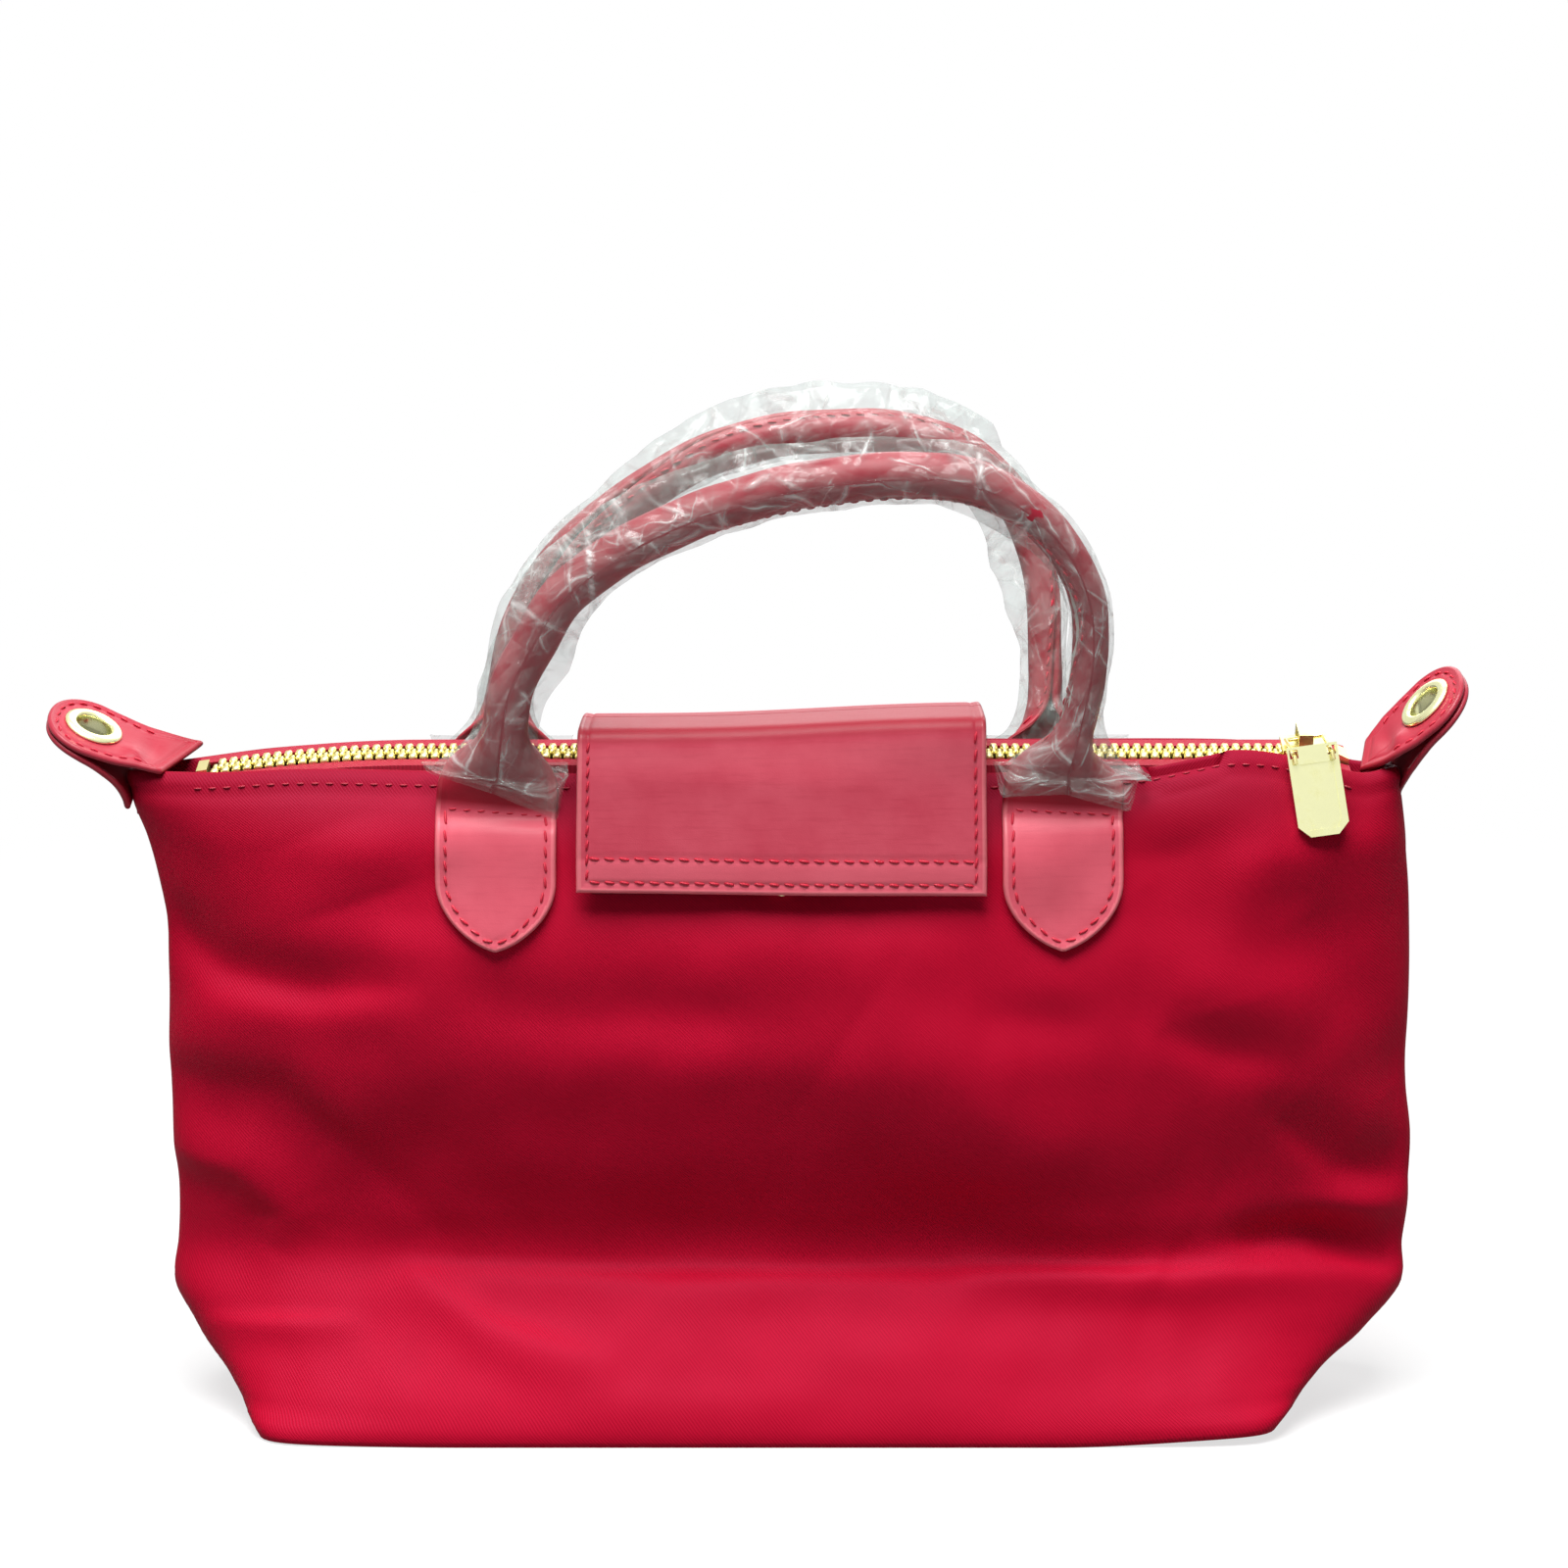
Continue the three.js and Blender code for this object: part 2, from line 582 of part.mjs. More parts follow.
// A sheet that follows the body's face, given by the height and half width of each of its rows.
// near and far are the distances of its two faces from the body's face, outward positive.
function faceSheet(side, centre, rows, columns, near, far) {
  const grid = (distance) => rows.map(([z, halfWidth]) => Array.from({ length: columns + 1 }, (_, k) => {
    const share = side < 0 ? k / columns : 1 - k / columns;
    const x = centre + halfWidth * (2 * share - 1);
    return new THREE.Vector3(x, side * (faceDepth(side, x, z) + distance + gap / 2), z);
  }));
  return slab(grid(far), grid(near));
}

// The rows of a shield: straight sides, drawn in to a blunt tip at the bottom.
function shieldRows(side) {
  const tip = tabTop - tab.length;
  const rows = [];
  for (let k = 0; k <= tab.rows; k += 1) {
    const share = k / tab.rows;
    const z = tip + tab.taper * share;
    const reach = tab.width / 2 * Math.sqrt(Math.max(1 - (1 - share) ** 2, 0));
    rows.push([z, Math.max(reach, tab.least)]);
  }
  const bends = bodyRowShares.map(([share]) => share * hemHeight(side))
    .filter((z) => z > tip + tab.taper && z < tabTop);
  for (const z of [...bends, tabTop]) rows.push([z, tab.width / 2]);
  return rows;
}

function addTabs() {
  for (const [face, side] of [['front', -1], ['back', 1]]) {
    for (const [name, x] of [['left', -tab.left], ['right', tab.right]]) {
      const rows = shieldRows(side);
      const shield = faceSheet(side, x, rows, tab.columns, gap, gap + leather.thickness);
      piece(`${face}_${name}_handle_tab`, shield, 'leather');
      const patchTop = tabTop - backing.below;
      const patchRows = [patchTop - backing.height, patchTop - backing.height / 2, patchTop]
        .map((z) => [z, backing.width / 2]);
      const inside = -body.wall - gap - backing.thickness - gap;
      const patch = faceSheet(side, x, patchRows, tab.columns, inside, inside + backing.thickness);
      piece(`${face}_${name}_backing_patch`, patch, 'lining');
    }
  }
}

// One handle's frame: its pivot line, and its plane, which leans away from the zip.
function handleFrame(side) {
  const lean = radians(handle.lean);
  const y = side * (faceDepth(side, tab.left, tabTop) + gap + leather.thickness / 2 + gap / 2);
  return {
    pivot: new THREE.Vector3(0, y, tabTop + handle.bend),
    up: new THREE.Vector3(0, side * Math.sin(lean), Math.cos(lean)),
    out: new THREE.Vector3(0, side * Math.cos(lean), -Math.sin(lean)),
    side,
  };
}

function handleCurve(side) {
  const shares = side < 0 ? frontHandleShares : backHandleShares;
  const rise = (side < 0 ? handle.riseFront : handle.riseBack) / Math.cos(radians(handle.lean));
  const reach = (tab.left + tab.right) / 2;
  return new THREE.CatmullRomCurve3(shares.map(([x, h]) => new THREE.Vector3(x * reach, h * rise, 0)));
}

// Turns a flat place of a handle into the bag's frame: across, up its plane, and out of it.
function placeOn(frame, across, up, out) {
  return frame.pivot.clone().addScaledVector(frame.up, up).addScaledVector(frame.out, out)
    .add(new THREE.Vector3(across, 0, 0));
}

// A ring round a handle's line, of a half width in its plane and a half thickness out of it.
function handleRing(frame, point, tangent, halfWidth, halfThickness, sides) {
  const inPlane = new THREE.Vector2(tangent.y, -tangent.x).normalize();
  const ring = circle(1, sides).map(([a, b]) => placeOn(
    frame,
    point.x + inPlane.x * a * halfWidth,
    point.y + inPlane.y * a * halfWidth,
    b * halfThickness,
  ));
  return frame.side < 0 ? ring.reverse() : ring;
}

// Shares of a handle's line between two heights above its roots.
function shareAtHeight(curve, height, fromLeft) {
  const steps = handle.searchSteps;
  for (let k = 0; k <= steps; k += 1) {
    const share = fromLeft ? k / steps : 1 - k / steps;
    if (curve.getPointAt(share).y >= height) return share;
  }
  return half;
}

function roundRings(frame, curve, from, radius, sides, count) {
  const first = shareAtHeight(curve, from, true);
  const last = shareAtHeight(curve, from, false);
  return Array.from({ length: count + 1 }, (_, k) => {
    const share = lerp(first, last, k / count);
    return handleRing(frame, curve.getPointAt(share), curve.getTangentAt(share), radius, radius, sides);
  });
}

// The leather: flat at each root, with a rounded nose on the pivot line, and rolled above.
function handleSolid(frame, curve) {
  const rings = [];
  const nose = (k) => radians(90 * k / handle.noseRings);
  const thin = handle.rootHalfThickness;
  const end = (share, order) => order.map((k) => {
    const angle = nose(k);
    const point = curve.getPointAt(share).clone();
    point.y -= thin * Math.cos(angle);
    const across = handle.rootHalf - thin * (1 - Math.sin(angle));
    const tangent = new THREE.Vector3(0, share < half ? 1 : -1, 0);
    return handleRing(frame, point, tangent, across, thin * Math.sin(angle), handle.sides);
  });
  const order = Array.from({ length: handle.noseRings }, (_, k) => k + half);
  rings.push(...end(0, order));
  const length = curve.getLength();
  for (let k = 0; k <= handle.rings; k += 1) {
    const share = k / handle.rings;
    const point = curve.getPointAt(share);
    const near = Math.min(share, 1 - share) * length;
    const roll = THREE.MathUtils.smoothstep(near, 0, handle.rollFrom);
    const across = lerp(handle.rootHalf, handle.radius, roll);
    const through = lerp(thin, handle.radius, roll);
    const tangent = curve.getTangentAt(share);
    if (share === 0 || share === 1) tangent.set(0, share === 0 ? 1 : -1, 0);
    rings.push(handleRing(frame, point, tangent, across, through, handle.sides));
  }
  rings.push(...end(1, order.reverse()));
  return loft(rings);
}

// The bore for the core, which leaves the leather through a mouth at the back of each root.
function boreSolid(frame, curve) {
  const rings = roundRings(frame, curve, core.from, core.radius + gap, core.sides, handle.rings);
  const mouth = (share, sign) => {
    const point = curve.getPointAt(share);
    return handleRing(
      { ...frame, pivot: frame.pivot.clone().addScaledVector(frame.out, -core.mouthBack) },
      new THREE.Vector3(point.x, point.y - core.mouthDown, 0),
      new THREE.Vector3(0, sign, 0),
      core.radius + gap,
      core.radius + gap,
      core.sides,
    );
  };
  rings.unshift(mouth(shareAtHeight(curve, core.from, true), 1));
  rings.push(mouth(shareAtHeight(curve, core.from, false), -1));
  return loft(rings);
}

function addHandles() {
  for (const [face, side] of [['front', -1], ['back', 1]]) {
    const frame = handleFrame(side);
    const curve = handleCurve(side);
    const leatherSolid = solidOf(handleSolid(frame, curve)).subtract(solidOf(boreSolid(frame, curve)));
    piece(`${face}_handle`, geometryFrom(leatherSolid), 'leather');
    const coreRings = roundRings(frame, curve, core.from, core.radius, core.sides, handle.rings);
    piece(`${face}_handle_core`, loft(coreRings), 'core');
    const outer = roundRings(frame, curve, film.from, film.radius, film.sides, film.rings);
    const inner = roundRings(frame, curve, film.from, film.radius - film.wall, film.sides, film.rings);
    piece(`${face}_handle_film`, sleeve(outer, inner), 'film');
  }
}

// Where the flap's closure sits on the front face, and the direction it faces.
function snapFrame() {
  const tilt = radians(snap.tilt);
  const height = hem.front - snap.below;
  const depth = faceDepth(-1, 0, height) + gap / 2;
  return {
    point: new THREE.Vector2(-depth, height),
    out: new THREE.Vector2(-Math.cos(tilt), Math.sin(tilt)),
  };
}

// How far out from the front face each layer of the closure and the flap begins.
function snapStack() {
  const stud = gap;
  const socket = stud + snap.plate + gap;
  const liningAt = socket + snap.socket + gap;
  const leatherAt = liningAt + lining.thickness + gap;
  return { stud, socket, liningAt, leatherAt };
}

// The middle line of the flap's front leaf, a distance out from the snap's own place.
function frontLeaf(distance, fromShare, toShare) {
  const { point, out } = snapFrame();
  const level = snapStack().leatherAt + flap.thickness / 2;
  const on = point.clone().addScaledVector(out, level);
  const fold = new THREE.Vector2(-flap.foldY, foldZ);
  const down = on.clone().sub(fold).normalize();
  const length = (foldZ - hem.front + flap.below) / -down.y;
  const outward = new THREE.Vector2(down.y, -down.x);
  const at = (share) => fold.clone().addScaledVector(down, length * share).addScaledVector(outward, distance);
  return { from: at(fromShare), to: at(toShare), down, outward, fold, length };
}

// A strip's outline with a half round end on its first point, where it hinges.
function nosedStrip(line, thickness) {
  const [first, second] = line;
  const heading = Math.atan2(second[1] - first[1], second[0] - first[0]);
  const radius = thickness / 2;
  const arc = Array.from({ length: flap.arcSteps - 1 }, (_, k) => {
    const turn = heading + Math.PI * (half + (k + 1) / flap.arcSteps);
    return [first[0] + radius * Math.cos(turn), first[1] + radius * Math.sin(turn)];
  });
  return [...stripOutline(line, thickness), ...arc];
}

function addFlap() {
  const start = flap.centre - flap.width / 2;
  const wall = flap.thickness;
  const hingeY = faceDepth(1, 0, hem.back) + gap + wall / 2 + gap / 2;
  const hinge = new THREE.Vector2(hingeY, hingeZ);
  const fold = new THREE.Vector2(-flap.foldY, foldZ);

  // The part over the zip stops just short of the fold.
  const line = flapTopShares.map(([d, h]) => [
    lerp(hinge.x, fold.x, d),
    hinge.y + (fold.y - hinge.y) * h,
  ]);
  const last = new THREE.Vector2(...line[line.length - 1]);
  const before = new THREE.Vector2(...line[line.length - 2]);
  const short = before.sub(last).normalize().multiplyScalar(wall / 2 + gap);
  line[line.length - 1] = [last.x + short.x, last.y + short.y];
  piece('flap_top', alongX(nosedStrip(line, wall), start, flap.width), 'leather');

  // The front leaf hangs from the fold.
  const leaf = frontLeaf(0, 0, 1);
  const leafLine = [leaf.from, leaf.to].map((p) => [p.x, p.y]);
  piece('flap_front', alongX(nosedStrip(leafLine, wall), start, flap.width), 'leather');

  const under = -(wall / 2 + gap + lining.thickness / 2);
  const inset = lining.topMargin / leaf.length;
  const innerLeaf = frontLeaf(under, inset, 1);
  const strip = stripOutline([innerLeaf.from, innerLeaf.to].map((p) => [p.x, p.y]), lining.thickness);
  const liningWidth = flap.width - 2 * lining.margin;
  piece('flap_lining', alongX(strip, start + lining.margin, liningWidth), 'lining');

  // The stitched part on the back, from below the hem to the hinge.
  const top = hingeZ - wall / 2 - gap;
  const low = hem.back - anchor.below;
  const rows = [];
  const heights = bodyRowShares.map(([share]) => share * hem.back)
    .filter((z) => z > low && z < hem.back);
  for (const z of [low, ...heights, hem.back, top]) rows.push([z, flap.width / 2]);
  piece('flap_anchor', faceSheet(1, flap.centre, rows, anchor.columns, gap, gap + wall), 'leather');
}

// The press stud: its socket under the flap, its stud on the front and a washer inside.
function addSnap() {
  const { point, out } = snapFrame();
  const stack = snapStack();
  const seat = new THREE.Group();
  seat.position.set(flap.centre, point.x, point.y);
  seat.rotation.x = Math.atan2(-out.x, out.y);
  group.add(seat);
  const { radius, postRadius, boreRadius, sides, plate } = snap;
  const studTop = stack.stud + plate + gap + snap.postRise;
  const stud = [
    [0, stack.stud], [radius, stack.stud], [radius, stack.stud + plate],
    [postRadius, stack.stud + plate], [postRadius, studTop], [0, studTop],
  ];
  piece('snap_stud', turned(stud, sides), 'gold', seat);
  const socket = [
    [boreRadius, stack.socket], [radius, stack.socket], [radius, stack.socket + snap.socket],
    [boreRadius, stack.socket + snap.socket], [boreRadius, stack.socket],
  ];
  piece('snap_socket', turned(socket, sides), 'gold', seat);
  const inside = -body.wall - 2 * gap;
  const washer = [
    [0, inside - snap.washerWall], [snap.washerRadius, inside - snap.washerWall],
    [snap.washerRadius, inside], [0, inside],
  ];
  piece('snap_backing_washer', turned(washer, sides), 'gold', seat);
}

// The outline of an ear layer, from its hinge end outward: straight sides and a rounded tip.
function earOutline() {
  const w = ear.width / 2;
  const bend = ear.length * (1 - ear.tipShare);
  const tip = Array.from({ length: ear.arcSteps + 1 }, (_, k) => {
    const turn = radians(-90 + 180 * k / ear.arcSteps);
    return [bend + (ear.length - bend) * Math.cos(turn), w * Math.sin(turn)];
  });
  return [[ear.start, -w], ...tip, [ear.start, w]];
}

// One ear: the root that is stitched over the zip's end and the side seam, and, past its bend,
// two layers of leather with an eyelet through them.
function addEar(name, place, sign) {
  const holder = new THREE.Group();
  holder.position.set(sign * place.x, 0, zipHeight + place.rise);
  holder.rotation.x = radians(zip.tilt);
  group.add(holder);
  const line = [
    [-sign * place.leaf, -place.leafDrop], [0, 0], [sign * place.tailOut, -place.tailDrop],
  ];
  const strip = stripOutline(line, leather.thin);
  const turnsLeft = THREE.ShapeUtils.isClockWise(strip.map(([a, b]) => new THREE.Vector2(a, b)));
  piece(`${name}_ear_root`, acrossY(turnsLeft ? strip.reverse() : strip, ear.rootWidth), 'leather', holder);

  const wing = new THREE.Group();
  if (sign < 0) wing.rotation.z = Math.PI;
  const pitched = new THREE.Group();
  pitched.rotation.y = -radians(place.pitch);
  wing.add(pitched);
  holder.add(wing);
  const hole = circle(eyelet.barrel + gap, eyelet.sides, ear.eyeletAt);
  const upper = ear.layerGap / 2;
  const layers = [['upper', upper], ['lower', -upper - leather.thin]];
  for (const [layer, level] of layers) {
    const plate = extruded(earOutline(), leather.thin, [hole]).translate(0, 0, level);
    piece(`${name}_ear_${layer}_layer`, plate, 'leather', pitched);
  }
  const face = upper + leather.thin;
  const flangeLow = face + gap;
  const washerTop = -face - gap;
  const foot = washerTop - eyelet.washerWall - gap;
  const ring = [
    [eyelet.bore, foot], [eyelet.barrel, foot], [eyelet.barrel, flangeLow], [eyelet.flange, flangeLow],
    [eyelet.flange - eyelet.roll, flangeLow + eyelet.lip], [eyelet.bore, flangeLow + eyelet.lip],
    [eyelet.bore, foot],
  ];
  const barrel = turned(ring, eyelet.sides).translate(ear.eyeletAt, 0, 0);
  piece(`${name}_eyelet`, barrel, 'gold', pitched);
  const inner = eyelet.barrel + gap;
  const washer = [
    [inner, washerTop - eyelet.washerWall], [eyelet.washer, washerTop - eyelet.washerWall],
    [eyelet.washer, washerTop], [inner, washerTop], [inner, washerTop - eyelet.washerWall],
  ];
  const under = turned(washer, eyelet.sides).translate(ear.eyeletAt, 0, 0);
  piece(`${name}_eyelet_washer`, under, 'gold', pitched);
}

addBody();
addBindings();
addZip();
piece('zip_slider', sliderBody(), 'gold');
addPull();
addTabs();
addHandles();
addFlap();
addSnap();
addEar('left', leftEar, -1);
addEar('right', rightEar, 1);

export default group;
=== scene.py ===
import json
import math

import bmesh
import bpy
import numpy as np
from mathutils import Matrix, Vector, noise
from mathutils.bvhtree import BVHTree


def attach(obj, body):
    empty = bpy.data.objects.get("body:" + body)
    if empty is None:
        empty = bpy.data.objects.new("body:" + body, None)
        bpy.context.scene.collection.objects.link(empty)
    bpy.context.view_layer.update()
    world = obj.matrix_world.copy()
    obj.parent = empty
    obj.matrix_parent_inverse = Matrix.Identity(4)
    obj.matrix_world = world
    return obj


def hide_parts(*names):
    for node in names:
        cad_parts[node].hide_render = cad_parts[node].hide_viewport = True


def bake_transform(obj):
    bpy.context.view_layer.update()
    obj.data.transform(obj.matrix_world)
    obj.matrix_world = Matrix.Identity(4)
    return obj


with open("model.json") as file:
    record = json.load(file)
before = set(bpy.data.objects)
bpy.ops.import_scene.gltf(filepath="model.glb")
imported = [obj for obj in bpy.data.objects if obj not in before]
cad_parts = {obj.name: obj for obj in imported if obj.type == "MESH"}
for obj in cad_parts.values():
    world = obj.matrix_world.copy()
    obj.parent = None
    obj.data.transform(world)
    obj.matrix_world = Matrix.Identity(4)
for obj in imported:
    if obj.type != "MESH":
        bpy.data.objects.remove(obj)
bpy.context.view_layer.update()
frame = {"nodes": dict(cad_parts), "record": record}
mm = 0.001
print("frame loaded")


# Mesh helpers

def makePiece(name, points, faces, material, uv=None, smooth=True):
    mesh = bpy.data.meshes.new(name)
    mesh.from_pydata((np.asarray(points, float) * mm).tolist(), [], faces)
    mesh.materials.append(material)
    if uv is not None:
        layer = mesh.uv_layers.new(name="cloth")
        corner = np.empty(len(mesh.loops), np.int32)
        mesh.loops.foreach_get("vertex_index", corner)
        layer.data.foreach_set("uv", (np.asarray(uv, np.float32) * mm)[corner].ravel())
    mesh.polygons.foreach_set("use_smooth", [smooth] * len(mesh.polygons))
    mesh.update()
    piece = bpy.data.objects.new(name, mesh)
    bpy.context.scene.collection.objects.link(piece)
    return piece


def joinParts(parts):  # several (points, faces) as one
    points, faces, start = [], [], 0
    for somePoints, someFaces in parts:
        points.append(np.asarray(somePoints, float))
        faces += [[k + start for k in face] for face in someFaces]
        start += len(somePoints)
    return np.vstack(points), faces


def gridFaces(rows, columns, closed=False, flip=False, start=0):
    faces = []
    for r in range(rows - 1):
        for c in range(columns if closed else columns - 1):
            right = (c + 1) % columns
            face = [r * columns + c, r * columns + right, (r + 1) * columns + right, (r + 1) * columns + c]
            faces.append([k + start for k in (face[::-1] if flip else face)])
    return faces


def tubeFaces(rings, sides, capped=True):
    faces = gridFaces(rings, sides, closed=True)
    if capped:
        faces += [list(range(sides))[::-1], list(range((rings - 1) * sides, rings * sides))]
    return faces


def unit(v):
    v = np.asarray(v, float)
    return v / np.maximum(np.linalg.norm(v, axis=-1, keepdims=True), 1e-12)


def smoothStep(x, low, high):
    t = np.clip((np.asarray(x, float) - low) / (high - low), 0, 1)
    return t * t * (3 - 2 * t)


def smoothTable(table, at):  # a smooth curve through rows of values, read at places in their first column
    table = np.asarray(table, float)
    knots, values = table[:, 0], table[:, 1:]
    slopes = np.gradient(values, knots, axis=0)
    at = np.clip(np.asarray(at, float), knots[0], knots[-1])
    k = np.clip(np.searchsorted(knots, at, side="right") - 1, 0, len(knots) - 2)
    width = (knots[k + 1] - knots[k])[..., None]
    t = (at - knots[k])[..., None] / width
    a, b = values[k], values[k + 1]
    return (a * (1 + 2 * t) * (1 - t) ** 2 + b * t * t * (3 - 2 * t)
            + slopes[k] * width * t * (1 - t) ** 2 - slopes[k + 1] * width * t * t * (1 - t))


def alongLine(line, count=None, spacing=None):  # even points along a line
    line = np.asarray(line, float)
    lengths = np.concatenate([[0], np.cumsum(np.linalg.norm(np.diff(line, axis=0), axis=1))])
    if count is None:
        count = max(int(round(lengths[-1] / spacing)) + 1, 2)
    at = np.linspace(0, lengths[-1], count)
    return np.stack([np.interp(at, lengths, line[:, k]) for k in range(line.shape[1])], axis=1)


def softNoise(points, scale, seed=0.0):  # gentle noise, one value a point
    return np.array([noise.noise(Vector(p) / scale + Vector((seed, 7.3 * seed, -seed))) for p in points])


# Materials

def newMaterial(name):
    material = bpy.data.materials.new(name)
    material.use_nodes = True
    nodes = material.node_tree.nodes
    return material, nodes, material.node_tree.links, nodes["Principled BSDF"]


def linear(r, g, b):  # a colour as a screen shows it, made linear
    return tuple(((c / 255 + 0.055) / 1.055) ** 2.4 if c > 10 else c / 255 / 12.92 for c in (r, g, b)) + (1.0,)


def newGroup(name, inputs, outputs):
    tree = bpy.data.node_groups.new(name, "ShaderNodeTree")
    for kind, sockets in (("INPUT", inputs), ("OUTPUT", outputs)):
        for label, sort, value in sockets:
            socket = tree.interface.new_socket(name=label, in_out=kind, socket_type=sort)
            if value is not None:
                socket.default_value = value
    return tree, tree.nodes.new("NodeGroupInput"), tree.nodes.new("NodeGroupOutput")


def addNode(tree, kind, operation=None, **values):
    node = tree.nodes.new(kind)
    if operation:
        node.operation = operation
    for key, value in values.items():
        if key.startswith("in"):
            node.inputs[int(key[2:])].default_value = value
        else:
            setattr(node, key, value)
    return node


def mixColours(tree, share, first, second, blend="MIX"):  # each may be a socket or a plain colour
    node = addNode(tree, "ShaderNodeMix", data_type="RGBA", blend_type=blend)
    for socket, value in ((node.inputs[0], share), (node.inputs[6], first), (node.inputs[7], second)):
        if isinstance(value, bpy.types.NodeSocket):
            tree.links.new(value, socket)
        else:
            socket.default_value = value
    return node.outputs[2]


def mathNode(tree, operation, first, second=None, clamp=False):
    node = addNode(tree, "ShaderNodeMath", operation, use_clamp=clamp)
    for socket, value in zip(node.inputs, (first, second)):
        if value is None:
            continue
        if isinstance(value, bpy.types.NodeSocket):
            tree.links.new(value, socket)
        else:
            socket.default_value = value
    return node.outputs[0]


def noiseNode(tree, place, scale, detail=3.0, rough=0.5):
    node = addNode(tree, "ShaderNodeTexNoise", in2=scale, in3=detail, in4=rough)
    tree.links.new(place, node.inputs[0])
    return node.outputs[0]


def rampNode(tree, value, low, high):  # a value stretched from low..high to 0..1
    node = addNode(tree, "ShaderNodeMapRange", in1=low, in2=high, in3=0.0, in4=1.0)
    tree.links.new(value, node.inputs[0])
    return node.outputs[0]


def buildWeaveGroup():  # fine diagonal twill on the cloth's own coordinates, in metres
    tree, into, out = newGroup(
        "twillWeave",
        [("Place", "NodeSocketVector", None), ("Pitch", "NodeSocketFloat", 0.0008)],
        [("Height", "NodeSocketFloat", None), ("Mottle", "NodeSocketFloat", None)])
    split = addNode(tree, "ShaderNodeSeparateXYZ")
    tree.links.new(into.outputs["Place"], split.inputs[0])
    across = mathNode(tree, "DIVIDE", split.outputs[0], into.outputs["Pitch"])
    up = mathNode(tree, "DIVIDE", split.outputs[1], into.outputs["Pitch"])
    turn = 2 * math.pi
    diagonal = mathNode(tree, "SINE", mathNode(tree, "MULTIPLY", mathNode(tree, "ADD", across, up), turn))
    slow = mathNode(tree, "MULTIPLY", mathNode(tree, "SUBTRACT", across, up), turn * 1.6)
    steps = mathNode(tree, "SINE", slow)
    height = mathNode(tree, "ADD", mathNode(tree, "MULTIPLY", diagonal, 0.35),
                      mathNode(tree, "MULTIPLY", steps, 0.15))
    tree.links.new(mathNode(tree, "ADD", height, 0.5), out.inputs["Height"])
    tree.links.new(noiseNode(tree, into.outputs["Place"], 18.0, 4.0, 0.55), out.inputs["Mottle"])
    return tree


def buildGrainGroup():  # leather: fine creases, and long soft brush marks across the piece
    tree, into, out = newGroup(
        "leatherGrain",
        [("Place", "NodeSocketVector", None), ("Grain", "NodeSocketFloat", 2600.0),
         ("Brush", "NodeSocketFloat", 900.0)],
        [("Height", "NodeSocketFloat", None), ("Marks", "NodeSocketFloat", None),
         ("Mottle", "NodeSocketFloat", None)])
    cells = addNode(tree, "ShaderNodeTexVoronoi", feature="DISTANCE_TO_EDGE")
    tree.links.new(into.outputs["Place"], cells.inputs["Vector"])
    tree.links.new(into.outputs["Grain"], cells.inputs["Scale"])
    stretch = addNode(tree, "ShaderNodeMapping")
    stretch.inputs["Scale"].default_value = (0.1, 1.0, 1.0)
    tree.links.new(into.outputs["Place"], stretch.inputs["Vector"])
    marks = addNode(tree, "ShaderNodeTexNoise", in3=5.0, in4=0.7)
    tree.links.new(stretch.outputs[0], marks.inputs[0])
    tree.links.new(into.outputs["Brush"], marks.inputs["Scale"])
    height = mathNode(tree, "ADD", mathNode(tree, "MULTIPLY", rampNode(tree, cells.outputs["Distance"], 0, 0.35),
                                            0.35),
                      mathNode(tree, "MULTIPLY", marks.outputs[0], 0.65))
    tree.links.new(height, out.inputs["Height"])
    tree.links.new(rampNode(tree, marks.outputs[0], 0.5, 0.75), out.inputs["Marks"])
    tree.links.new(noiseNode(tree, into.outputs["Place"], 55.0, 4.0, 0.6), out.inputs["Mottle"])
    return tree


